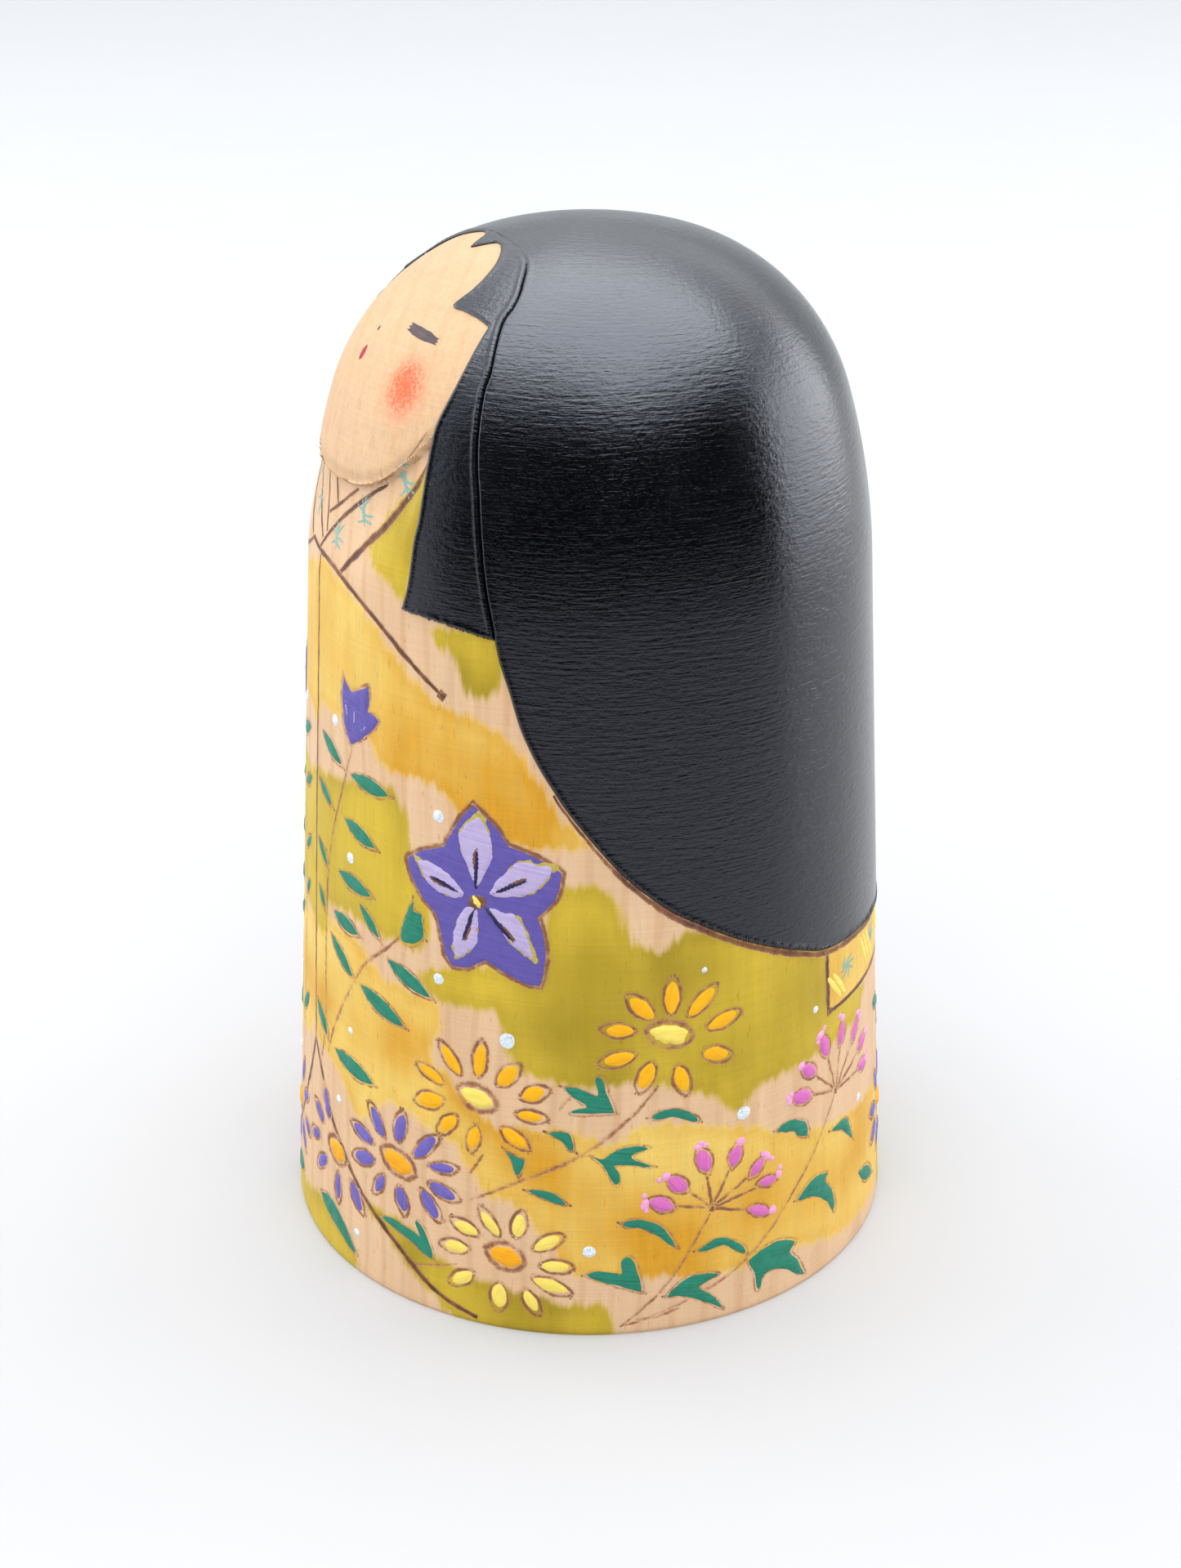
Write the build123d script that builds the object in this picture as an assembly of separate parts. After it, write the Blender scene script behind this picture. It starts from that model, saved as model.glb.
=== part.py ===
"""Kokeshi doll: one block of wood, turned on a lathe and carved, with its lacquer and paint coats.

Millimetres, +Z up. The origin is the centre of the flat base and the doll faces -Y.
A place on the turned surface is an angle (0 at the front, 90 on +X, 180 at the back) and a height.
"""
import os
from math import asin, atan2, cos, degrees, radians, sin, sqrt, tan

from build123d import *

# Turned outline: a tapering side, then three tangent arcs over the shoulder to the crown.
BASE_RADIUS = 40.0
SIDE_TAPER = 3.375
SIDE_LENGTH = 90.5
UPPER_ARC_RADIUS = 85.2
UPPER_ARC_SWEEP = 13.83
SHOULDER_RADIUS = 26.69
CROWN_RADIUS = 49.9
BASE_CHAMFER = 0.5

# Lathe centre mark in the crown.
PIT_RADIUS = 1.1
PIT_DEPTH = 0.7

# Chin: the collar is pared back under a sloping chin line, between the two side locks.
CHIN_HEIGHT = 103.6
CHIN_SLOPE = 45.0
CHIN_STEP = 1.0
COLLAR_FOOT_HEIGHT = 90.0
COLLAR_TOP_HEIGHT = 113.0
LOCK_INNER_X = 17.6

# Carved groove between the front hair and the back hair, seen from the side.
GROOVE_Y = -22.6
GROOVE_WIDTH = 0.7
GROOVE_DEPTH = 0.6
GROOVE_BEND_HEIGHT = 106.0
GROOVE_END = (-11.0, 128.2)
LOCK_BOTTOM_FRONT = 91.4
LOCK_BOTTOM_BACK = 89.8
LOCK_FRONT_Y = -30.0
PARTING_STEPS = 4

# Back hair, which sweeps down in a curve to a level edge over the bow.
BACK_HAIR_EDGE = [(-22.0, 89.0), (-18.0, 75.0), (-11.5, 64.5), (-0.6, 54.5), (10.0, 48.8), (18.4, 45.5)]
BACK_HAIR_REAR_HEIGHT = 43.4
BOW_FRONT_Y = 18.6
BOW_BOTTOM_HEIGHT = 36.8
BOW_TOP_FRONT_HEIGHT = 45.2
BOW_TOP_REAR_HEIGHT = 43.1

# Thickness of each coat.
LACQUER = 0.35
PAINT = 0.2

# Face opening in the front hair, as (x, z). The fringe differs on each side and the locks match.
LEFT_FRINGE = [(0.0, 127.7), (2.4, 128.4), (4.7, 128.2), (7.0, 127.3), (9.3, 125.3), (9.4, 123.4)]
RIGHT_FRINGE = [(-12.8, 123.2), (-13.6, 124.5), (-12.3, 125.8), (-9.2, 127.3), (-5.6, 128.3), (-2.4, 128.4)]
LOCK_EDGE = [(15.3, 122.2), (16.9, 117.3), (17.1, 111.0), (18.1, 102.0), (LOCK_INNER_X, LOCK_BOTTOM_FRONT)]

# Flowers, leaves and dots on the doll's left. The right side repeats them, mirrored and moved.
RIGHT_SIDE_TURN = -2.0
RIGHT_SIDE_DROP = 1.5
LOWEST_LEAF = 3.0
BELLFLOWER = (47.2, 57.6)
BACK_BELLFLOWER = (179.0, 21.5)
BELLFLOWER_TIPS = [(93, 12.0), (25, 11.0), (309, 12.4), (248, 9.8), (162, 10.4)]
BELLFLOWER_WAIST = 6.4
YELLOW_DAISIES = [(47.4, 31.7), (83.0, 40.9)]
CREAM_DAISY = (52.7, 10.4)
ASTERS = [(30.4, 19.4), (12.0, 15.5), (152.0, 13.0)]
DAISY_PETALS = 10
PETAL_INNER = 3.3
PETAL_OUTER = 7.0
PETAL_WIDTH = 1.7
BASE_MARGIN = 1.5
FLOWER_CENTRE_RADIUS = 2.2
BUD_SPRAYS = [(90.8, 16.0), (122.0, 24.8)]
SPRAY_BUDS = 7
SPRAY_RADIUS = 6.8
SPRAY_SPREAD = 174.0
SPRAY_LEAN = 76.0
BUD_LENGTH = 3.4
BUD_WIDTH = 2.0
BUD_TIP_RADIUS = 0.7
VIOLET_BUD = (17.5, 76.0)
SILVER_DOTS = [
    (9.3, 74.0), (38.9, 67.3), (15.8, 57.5), (39.2, 46.5), (16.4, 34.2), (53.0, 40.1),
    (12.5, 23.2), (19.1, 5.8), (89.4, 48.7), (97.4, 28.3), (68.0, 12.1), (115.7, 38.2), (131.9, 20.5),
]
DOT_RADIUS = 0.7
# Leaves: angle, height, length and tilt of each.
LEAVES = [
    (7.8, 70.1, 5.5, -24), (21.1, 68.2, 6.6, -6), (18.0, 61.4, 6.4, -12), (16.5, 54.3, 6.6, -6),
    (13.5, 48.2, 6.0, -8), (12.8, 43.0, 6.2, -34), (22.9, 50.6, 4.6, -44), (32.1, 45.2, 7.0, -22),
    (25.3, 39.8, 7.6, -20), (17.5, 29.6, 7.6, -12), (33.5, 52.5, 4.6, -80), (70.2, 33.4, 5.6, -48),
    (73.6, 24.6, 7.4, -24), (60.9, 19.3, 5.2, -18), (83.3, 29.4, 7.4, -8), (12.7, 4.8, 7.4, -26),
    (35.6, 9.4, 7.0, -36), (79.1, 14.0, 7.0, -26), (92.8, 10.2, 5.6, -14), (72.3, 7.8, 6.6, -20),
    (88.0, 4.0, 7.0, -16), (105.0, 5.2, 6.4, -24), (116.5, 11.4, 7.0, -36), (109.3, 22.4, 4.8, -18),
    (126.7, 18.9, 5.4, -44), (136.0, 7.5, 6.6, -30), (164.0, 6.0, 6.8, 24), (148.0, 29.0, 6.4, -20),
    (157.0, 24.5, 5.6, 30),
]
LEAF_SLENDERNESS = 0.36

# Face paint. Each eye has an angle, a height and a length.
EYES = [(20.5, 120.5, 6.0), (-31.6, 120.5, 5.0)]
EYE_WIDTH = 1.1
MOUTH_HEIGHT = 116.7
MOUTH_RADII = (0.45, 0.75)
NOSE_DOT_HEIGHT = 119.4
NOSE_DOT_RADIUS = 0.3


# The three arc centres follow from the radii, because each arc is tangent to the last
# and the crown's centre lies on the axis.
SIDE_TOP = Vector(
    BASE_RADIUS - SIDE_LENGTH * sin(radians(SIDE_TAPER)), SIDE_LENGTH * cos(radians(SIDE_TAPER))
)
SHOULDER_START = SIDE_TAPER + UPPER_ARC_SWEEP
UPPER_CENTRE = SIDE_TOP - UPPER_ARC_RADIUS * Vector(1, 0).rotate(Axis.Z, SIDE_TAPER)
SHOULDER_CENTRE = UPPER_CENTRE + (UPPER_ARC_RADIUS - SHOULDER_RADIUS) * Vector(1, 0).rotate(
    Axis.Z, SHOULDER_START
)
CROWN_CENTRE = Vector(
    0, SHOULDER_CENTRE.Y - sqrt((CROWN_RADIUS - SHOULDER_RADIUS) ** 2 - SHOULDER_CENTRE.X ** 2)
)
CROWN_START = degrees(atan2(SHOULDER_CENTRE.Y - CROWN_CENTRE.Y, SHOULDER_CENTRE.X))
TOTAL_HEIGHT = CROWN_CENTRE.Y + CROWN_RADIUS
BEYOND = 3.0
CUTTER_SKIN = 1.0


def turned_solid(thickness=0.0):
    """The turned outline, grown outwards by a thickness, as a solid of revolution."""
    lean = Vector(1, 0).rotate(Axis.Z, SIDE_TAPER)
    foot = Vector(BASE_RADIUS + thickness / cos(radians(SIDE_TAPER)), 0)
    top = Vector(0, TOTAL_HEIGHT + thickness)
    outline = [
        Line(foot, SIDE_TOP + thickness * lean),
        CenterArc(UPPER_CENTRE, UPPER_ARC_RADIUS + thickness, SIDE_TAPER, UPPER_ARC_SWEEP),
        CenterArc(
            SHOULDER_CENTRE, SHOULDER_RADIUS + thickness, SHOULDER_START, CROWN_START - SHOULDER_START
        ),
        CenterArc(CROWN_CENTRE, CROWN_RADIUS + thickness, CROWN_START, 90 - CROWN_START),
        Line(top, (0, 0)),
        Line((0, 0), foot),
    ]
    return revolve(Plane.XZ * make_face(outline), Axis.Z)


def surface(height):
    """Radius and slope of the turned surface at a height."""
    if height <= SIDE_TOP.Y:
        return BASE_RADIUS - height * tan(radians(SIDE_TAPER)), SIDE_TAPER
    arcs = [
        (UPPER_CENTRE, UPPER_ARC_RADIUS, SHOULDER_START),
        (SHOULDER_CENTRE, SHOULDER_RADIUS, CROWN_START),
        (CROWN_CENTRE, CROWN_RADIUS, 90.0),
    ]
    for centre, radius, last_slope in arcs:
        slope = degrees(asin(min(1.0, (height - centre.Y) / radius)))
        if slope <= last_slope:
            break
    return centre.X + radius * cos(radians(slope)), slope


def place(angle, height):
    """A plane on the surface: X runs round the doll, Y runs up it and Z points outwards."""
    radius, slope = surface(height)
    turn = radians(angle)
    outwards = Vector(cos(radians(slope)) * sin(turn), -cos(radians(slope)) * cos(turn), sin(radians(slope)))
    point = Vector(radius * sin(turn), -radius * cos(turn), height)
    return Plane(origin=point, x_dir=Vector(cos(turn), sin(turn), 0), z_dir=outwards)


def both_sides(angle, height):
    """A place on the doll's left, and its partner on the right."""
    return [(angle, height, 1), (RIGHT_SIDE_TURN - angle, max(height - RIGHT_SIDE_DROP, LOWEST_LEAF), -1)]


def coat(regions, skin):
    """The skin of a coat, kept inside each flat region, as one group of solids."""
    pieces = []
    for region in regions:
        pieces += (skin & extrude(region, BEYOND, both=True)).solids()
    return Compound(children=pieces)


def from_side(points):
    """A prism across the doll, from an outline of (y, z) points."""
    return extrude(Plane.YZ * make_face(Polyline(points, close=True)), 2 * BASE_RADIUS, both=True)


def groove_line():
    """The side view of the groove: straight up, then back over the shoulder."""
    straight = Line((GROOVE_Y, LOCK_BOTTOM_BACK), (GROOVE_Y, GROOVE_BEND_HEIGHT))
    bend = TangentArc(straight @ 1, GROOVE_END, tangent=straight % 1)
    return straight, bend


def grooves():
    """Cutters of the two grooves that part the front hair from the back hair."""
    skin = turned_solid(CUTTER_SKIN) - turned_solid(-GROOVE_DEPTH)
    straight, bend = groove_line()
    ribbon = trace(Curve() + [straight, bend], line_width=GROOVE_WIDTH)
    return skin & extrude(Plane.YZ * ribbon, 2 * BASE_RADIUS, both=True)


def collar_cutter():
    """Ring of wood pared away under the chin, deepest at the chin line."""
    low, _ = surface(COLLAR_FOOT_HEIGHT)
    high, _ = surface(COLLAR_TOP_HEIGHT)
    chord = Polyline(
        (low, COLLAR_FOOT_HEIGHT), (high - CHIN_STEP, COLLAR_TOP_HEIGHT), (BASE_RADIUS, COLLAR_TOP_HEIGHT),
        (BASE_RADIUS, COLLAR_FOOT_HEIGHT), close=True,
    )
    ring = revolve(Plane.XZ * make_face(chord), Axis.Z)
    chin_radius, _ = surface(CHIN_HEIGHT)
    rise = BASE_RADIUS * tan(radians(CHIN_SLOPE))
    below_chin = from_side([
        (-chin_radius - BASE_RADIUS, CHIN_HEIGHT - rise), (-chin_radius + BASE_RADIUS, CHIN_HEIGHT + rise),
        (-chin_radius + BASE_RADIUS, 0), (-chin_radius - BASE_RADIUS, 0),
    ])
    between_locks = Pos(0, -BASE_RADIUS, CHIN_HEIGHT) * Box(2 * LOCK_INNER_X, 2 * BASE_RADIUS, BASE_RADIUS)
    return ring & below_chin & between_locks


def wood_block():
    """The turned and carved block, which carries every coat."""
    block = turned_solid()
    block = chamfer(block.edges().group_by(Axis.Z)[0], BASE_CHAMFER)
    at_top = (Align.CENTER, Align.CENTER, Align.MAX)
    block -= Pos(0, 0, TOTAL_HEIGHT) * Cone(0, PIT_RADIUS, PIT_DEPTH, align=at_top)
    block -= collar_cutter()
    block -= grooves()
    return block


def parting(shift):
    """The groove's side view, moved by a shift in Y, from the locks' foot to above the crown."""
    _, bend = groove_line()
    steps = [bend @ (index / PARTING_STEPS) for index in range(PARTING_STEPS + 1)]
    points = [(GROOVE_Y + shift, LOCK_BOTTOM_BACK)]
    points += [(step.X + shift, step.Y) for step in steps]
    return points + [(GROOVE_END[0] + shift, 2 * TOTAL_HEIGHT)]


def back_hair(skin):
    """Lacquer from the crown down the back, behind the grooves."""
    edge = Spline(BACK_HAIR_EDGE)
    rear = [(2 * BASE_RADIUS, 2 * TOTAL_HEIGHT), (2 * BASE_RADIUS, BACK_HAIR_REAR_HEIGHT)]
    rear += [(BASE_RADIUS, BACK_HAIR_REAR_HEIGHT), edge @ 1]
    sides = Polyline([edge @ 0] + parting(GROOVE_WIDTH / 2) + rear)
    return skin & extrude(Plane.YZ * make_face([edge, sides]), 2 * BASE_RADIUS, both=True)


def front_hair(skin):
    """Lacquer of the fringe and the two side locks, in front of the grooves."""
    side = [(-2 * BASE_RADIUS, LOCK_BOTTOM_FRONT), (LOCK_FRONT_Y, LOCK_BOTTOM_FRONT)]
    side += parting(-GROOVE_WIDTH / 2) + [(-2 * BASE_RADIUS, 2 * TOTAL_HEIGHT)]
    left_lock = LOCK_EDGE + [(LOCK_INNER_X, LOCK_BOTTOM_FRONT - BEYOND)]
    right_lock = [(-x, z) for x, z in reversed(left_lock)]
    opening = make_face(Polyline(right_lock + RIGHT_FRINGE + LEFT_FRINGE + left_lock, close=True))
    return (skin & from_side(side)) - extrude(Plane.XZ * opening, 2 * BASE_RADIUS)


def ring_of_petals(plane, count, inner, outer, width):
    """Flat petals round a flower's centre."""
    middle = (inner + outer) / 2
    petal = Pos(middle, 0) * Ellipse((outer - inner) / 2, width / 2)
    return [plane * (Rot(0, 0, 360 * step / count) * petal) for step in range(count)]


def daisy_petals(flowers):
    """Petals of every daisy in a list, on both sides of the doll."""
    regions = []
    for flower in flowers:
        for angle, height, _ in both_sides(*flower):
            outer = min(PETAL_OUTER, height - BASE_MARGIN)
            regions += ring_of_petals(place(angle, height), DAISY_PETALS, PETAL_INNER, outer, PETAL_WIDTH)
    return regions


def flower_centres(flowers):
    """Round centres of every daisy in a list, on both sides of the doll."""
    disc = Circle(FLOWER_CENTRE_RADIUS)
    return [place(a, h) * disc for flower in flowers for a, h, _ in both_sides(*flower)]


def bellflower_regions():
    """Five-pointed stars of the bellflowers."""
    regions = []
    for angle, height, side in both_sides(*BELLFLOWER) + [BACK_BELLFLOWER + (1,)]:
        star = []
        turns = [turn for turn, _ in BELLFLOWER_TIPS]
        for index, (turn, reach) in enumerate(BELLFLOWER_TIPS):
            star.append((side * reach * cos(radians(turn)), reach * sin(radians(turn))))
            gap = (turns[(index + 1) % 5] - turn) % 360 - 360
            halfway = radians(turn + gap / 2)
            star.append((side * BELLFLOWER_WAIST * cos(halfway), BELLFLOWER_WAIST * sin(halfway)))
        regions.append(place(angle, height) * make_face(Polyline(star, close=True)))
    return regions


def violet_buds():
    """Closed violet bud at the head of the tall stem."""
    cup = [(-1.5, 3.9), (-0.4, 2.4), (0.9, 3.9), (1.4, 2.2), (3.2, 1.4), (-0.6, -3.8), (-1.5, -1.0)]
    regions = []
    for angle, height, side in both_sides(*VIOLET_BUD):
        outline = Polyline([(side * x, y) for x, y in cup], close=True)
        regions.append(place(angle, height) * make_face(outline))
    return regions


def spray_regions(shape, reach):
    """One shape repeated on the rays of each spray of buds."""
    regions = []
    for spray in BUD_SPRAYS:
        for angle, height, side in both_sides(*spray):
            lean = 90 + side * (SPRAY_LEAN - 90)
            for step in range(SPRAY_BUDS):
                ray = lean + SPRAY_SPREAD * (step / (SPRAY_BUDS - 1) - 0.5)
                regions.append(place(angle, height) * (Rot(0, 0, ray) * (Pos(reach, 0) * shape)))
    return regions


def leaf_regions():
    """Pointed leaves, each between two equal arcs."""
    regions = []
    for angle, height, length, tilt in LEAVES:
        belly = length * LEAF_SLENDERNESS / 2
        tips = [(-length / 2, 0), (length / 2, 0)]
        upper = ThreePointArc(tips[0], (0, belly), tips[1])
        lower = ThreePointArc(tips[1], (0, -belly), tips[0])
        leaf = make_face([upper, lower])
        for turned, level, side in both_sides(angle, height):
            regions.append(place(turned, level) * (Rot(0, 0, side * tilt) * leaf))
    return regions


def eye_regions():
    """Two short brush strokes, one for each eye."""
    return [place(angle, height) * Ellipse(length / 2, EYE_WIDTH / 2) for angle, height, length in EYES]


def nodes():
    """Every sub-part, by the name of its node."""
    lacquer = turned_solid(LACQUER) - turned_solid()
    paint = turned_solid(PAINT) - turned_solid()
    tip_reach = SPRAY_RADIUS + BUD_LENGTH / 2 + BUD_TIP_RADIUS
    bow = from_side([
        (BOW_FRONT_Y, BOW_BOTTOM_HEIGHT), (2 * BASE_RADIUS, BOW_BOTTOM_HEIGHT),
        (2 * BASE_RADIUS, BOW_TOP_REAR_HEIGHT), (BASE_RADIUS, BOW_TOP_REAR_HEIGHT),
        (BOW_FRONT_Y, BOW_TOP_FRONT_HEIGHT),
    ])
    daisies = YELLOW_DAISIES + [CREAM_DAISY] + ASTERS
    dots = [place(a, h) * Circle(DOT_RADIUS) for dot in SILVER_DOTS for a, h, _ in both_sides(*dot)]
    return {
        "wood_block": wood_block(),
        "back_hair_lacquer": back_hair(lacquer),
        "front_hair_lacquer": front_hair(lacquer),
        "eye_paint": coat(eye_regions(), paint),
        "mouth_paint": coat([place(0, MOUTH_HEIGHT) * Ellipse(*MOUTH_RADII)], paint),
        "nose_dot_paint": coat([place(0, NOSE_DOT_HEIGHT) * Circle(NOSE_DOT_RADIUS)], paint),
        "bow_paint": paint & bow,
        "bellflower_paint": coat(bellflower_regions() + violet_buds(), paint),
        "yellow_petal_paint": coat(daisy_petals(YELLOW_DAISIES), paint),
        "cream_petal_paint": coat(daisy_petals([CREAM_DAISY]), paint),
        "aster_petal_paint": coat(daisy_petals(ASTERS), paint),
        "flower_centre_paint": coat(flower_centres(daisies), paint),
        "pink_bud_paint": coat(spray_regions(Ellipse(BUD_LENGTH / 2, BUD_WIDTH / 2), SPRAY_RADIUS), paint),
        "pink_tip_paint": coat(spray_regions(Circle(BUD_TIP_RADIUS), tip_reach), paint),
        "leaf_paint": coat(leaf_regions(), paint),
        "silver_dot_paint": coat(dots, paint),
    }


os.makedirs("parts", exist_ok=True)
for name, shape in nodes().items():
    export_step(shape, f"parts/{name}.step")
    print(name, len(shape.solids()), "solids", round(shape.volume, 1), "mm3")
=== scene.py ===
"""Looks of the kokeshi doll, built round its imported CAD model.

Sizes are in millimetres until a point is placed, then in metres. A place on the turned surface is an
angle (0 at the front, 90 on the doll's left, 180 at the back) and a height above the base.
"""
import math

import bpy
import numpy as np
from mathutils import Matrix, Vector, kdtree, noise
from mathutils.geometry import delaunay_2d_cdt


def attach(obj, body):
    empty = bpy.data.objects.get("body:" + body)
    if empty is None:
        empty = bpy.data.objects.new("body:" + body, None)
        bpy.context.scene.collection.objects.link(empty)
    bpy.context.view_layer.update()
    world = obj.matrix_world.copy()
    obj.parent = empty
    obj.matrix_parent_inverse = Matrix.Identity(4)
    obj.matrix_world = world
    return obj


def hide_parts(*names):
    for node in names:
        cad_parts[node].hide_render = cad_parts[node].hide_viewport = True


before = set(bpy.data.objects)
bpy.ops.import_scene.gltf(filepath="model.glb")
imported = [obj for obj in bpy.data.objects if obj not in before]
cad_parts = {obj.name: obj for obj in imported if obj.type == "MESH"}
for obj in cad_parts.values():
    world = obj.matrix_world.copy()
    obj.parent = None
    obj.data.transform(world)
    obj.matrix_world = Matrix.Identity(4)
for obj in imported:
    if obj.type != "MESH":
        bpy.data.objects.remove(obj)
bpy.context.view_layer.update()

MM = 0.001
# Blender seeds its vector noise from the clock, so a set seed makes each run the same.
noise.seed_set(3)

# ---------------------------------------------------------------- turned outline, as in the CAD
BASE_RADIUS = 40.0
TAPER = math.radians(3.375)
SIDE_LENGTH = 90.5
UPPER_RADIUS = 85.2
UPPER_SWEEP = math.radians(13.83)
SHOULDER_RADIUS = 26.69
CROWN_RADIUS = 49.9

SIDE_TOP_R = BASE_RADIUS - SIDE_LENGTH * math.sin(TAPER)
SIDE_TOP_Z = SIDE_LENGTH * math.cos(TAPER)
SHOULDER_SLOPE = TAPER + UPPER_SWEEP
UPPER_R = SIDE_TOP_R - UPPER_RADIUS * math.cos(TAPER)
UPPER_Z = SIDE_TOP_Z - UPPER_RADIUS * math.sin(TAPER)
SHOULDER_R = UPPER_R + (UPPER_RADIUS - SHOULDER_RADIUS) * math.cos(SHOULDER_SLOPE)
SHOULDER_Z = UPPER_Z + (UPPER_RADIUS - SHOULDER_RADIUS) * math.sin(SHOULDER_SLOPE)
CROWN_Z = SHOULDER_Z - math.sqrt((CROWN_RADIUS - SHOULDER_RADIUS) ** 2 - SHOULDER_R ** 2)
CROWN_SLOPE = math.atan2(SHOULDER_Z - CROWN_Z, SHOULDER_R)
CROWN_ARC = CROWN_RADIUS * (math.pi / 2 - CROWN_SLOPE)
SHOULDER_ARC = SHOULDER_RADIUS * (CROWN_SLOPE - SHOULDER_SLOPE)
UPPER_ARC = UPPER_RADIUS * UPPER_SWEEP
TOP_HEIGHT = CROWN_Z + CROWN_RADIUS
TOTAL_ARC = CROWN_ARC + SHOULDER_ARC + UPPER_ARC + SIDE_LENGTH


def profile(arc):
    """Radius, height and slope of the outline at a distance along it from the crown."""
    arc = np.asarray(arc, float)
    slope = np.where(arc < CROWN_ARC, math.pi / 2 - arc / CROWN_RADIUS, 0.0)
    radius = CROWN_RADIUS * np.cos(slope)
    height = CROWN_Z + CROWN_RADIUS * np.sin(slope)
    start = CROWN_ARC
    sections = (
        (SHOULDER_R, SHOULDER_Z, SHOULDER_RADIUS, CROWN_SLOPE, SHOULDER_ARC),
        (UPPER_R, UPPER_Z, UPPER_RADIUS, SHOULDER_SLOPE, UPPER_ARC),
    )
    for centre_r, centre_z, bend, first, length in sections:
        here = arc >= start
        turned = first - (arc - start) / bend
        slope = np.where(here, turned, slope)
        radius = np.where(here, centre_r + bend * np.cos(turned), radius)
        height = np.where(here, centre_z + bend * np.sin(turned), height)
        start += length
    here = arc >= start
    slope = np.where(here, TAPER, slope)
    radius = np.where(here, SIDE_TOP_R + (arc - start) * math.sin(TAPER), radius)
    height = np.where(here, SIDE_TOP_Z - (arc - start) * math.cos(TAPER), height)
    return radius, height, slope


ARC_TABLE = np.linspace(0, TOTAL_ARC, 4000)
HEIGHT_TABLE = profile(ARC_TABLE)[1]


def arc_at(height):
    """Distance along the outline from the crown to a height."""
    return np.interp(-np.asarray(height, float), -HEIGHT_TABLE, ARC_TABLE)


def radius_at(height):
    """Radius of the outline at a height."""
    return profile(arc_at(height))[0]


def smooth(low, high, value):
    """Smooth step from 0 at low to 1 at high."""
    step = np.clip((value - low) / (high - low), 0, 1)
    return step * step * (3 - 2 * step)


def turn_from(start, angle):
    """Degrees from one angle to another, the short way round."""
    return (angle - start + 180) % 360 - 180


# ---------------------------------------------------------------- carving
CHIN_HEIGHT = 103.3
CHIN_RISE = 7.8
CHIN_HALF_WIDTH = 17.2
CHIN_DEPTH = 1.0
CHIN_EDGE = 0.45
CHIN_SIDES = (16.6, 17.9)
COLLAR_FADE = (2.0, 13.0)
FACE_ROUNDING_DEPTH = 0.35
FACE_ROUNDING_WIDTH = 1.6
PIT_RADII = (0.2, 1.3)
PIT_DEPTH = 0.7


def chin_line(across):
    """Height of the face's lower edge, at a distance from the middle."""
    return CHIN_HEIGHT + CHIN_RISE * (across / CHIN_HALF_WIDTH) ** 4


def relief(angle, height):
    """How far carving lowers the wood: under the chin, round the face's lower edge and at the pit."""
    radius = radius_at(height)
    across = np.abs(radius * np.sin(np.radians(angle)))
    front = np.cos(np.radians(angle)) > 0
    below = chin_line(across) - height
    inside = (1 - smooth(*CHIN_SIDES, across)) * front
    pared = smooth(0, CHIN_EDGE, below) * (1 - smooth(*COLLAR_FADE, below))
    rounded = FACE_ROUNDING_DEPTH * (1 - smooth(0, FACE_ROUNDING_WIDTH, -below)) * (below <= 0)
    pit = PIT_DEPTH * (1 - smooth(*PIT_RADII, radius)) * (height > CROWN_Z)
    return inside * (CHIN_DEPTH * pared + rounded) + pit


def on_surface(angle, arc, lift=0.0, carved=True):
    """Points in metres for angles in degrees, arcs and lifts in millimetres."""
    angle = np.asarray(angle, float)
    radius, height, slope = profile(arc)
    out = np.asarray(lift, float) - (relief(angle, height) if carved else 0.0)
    turn = np.radians(angle)
    reach = radius + out * np.cos(slope)
    rise = np.maximum(height + out * np.sin(slope), 0.0)
    return np.stack([reach * np.sin(turn), -reach * np.cos(turn), rise], -1) * MM


# ---------------------------------------------------------------- mesh helpers
def linked(name, data):
    """A new object in the scene."""
    obj = bpy.data.objects.new(name, data)
    bpy.context.scene.collection.objects.link(obj)
    return obj


def plain_object(name, verts, faces, material):
    """A flat-shaded mesh object."""
    mesh = bpy.data.meshes.new(name)
    mesh.from_pydata([tuple(v) for v in verts], [], [tuple(f) for f in faces])
    mesh.materials.append(material)
    return linked(name, mesh)


def new_object(name, verts, faces, material):
    """A smooth-shaded mesh object."""
    obj = plain_object(name, verts, faces, material)
    obj.data.validate()
    obj.data.update()
    obj.data.shade_smooth()
    return obj


def attribute(obj, name, values):
    """Stores one number for each vertex."""
    layer = obj.data.attributes.new(name, "FLOAT", "POINT")
    layer.data.foreach_set("value", np.asarray(values, np.float32))


def mark_sharp(obj, degrees):
    """Keeps edges that turn more than an angle sharp."""
    obj.data.set_sharp_from_angle(angle=math.radians(degrees))


class Pieces:
    """Gathers many small solids of one coat into one mesh."""

    def __init__(self):
        self.verts, self.faces, self.values = [], [], []
        self.count = 0

    def add(self, verts, faces, values):
        """Adds one solid, with the value that its material reads at each vertex."""
        self.verts.append(np.asarray(verts))
        self.faces += [tuple(i + self.count for i in face) for face in faces]
        self.values.append(np.asarray(values, float))
        self.count += len(verts)

    def build(self, name, material, value_name):
        """Makes the object, with the gathered values under a name."""
        obj = new_object(name, np.concatenate(self.verts), self.faces, material)
        attribute(obj, value_name, np.concatenate(self.values))
        mark_sharp(obj, 55)
        return obj


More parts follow.
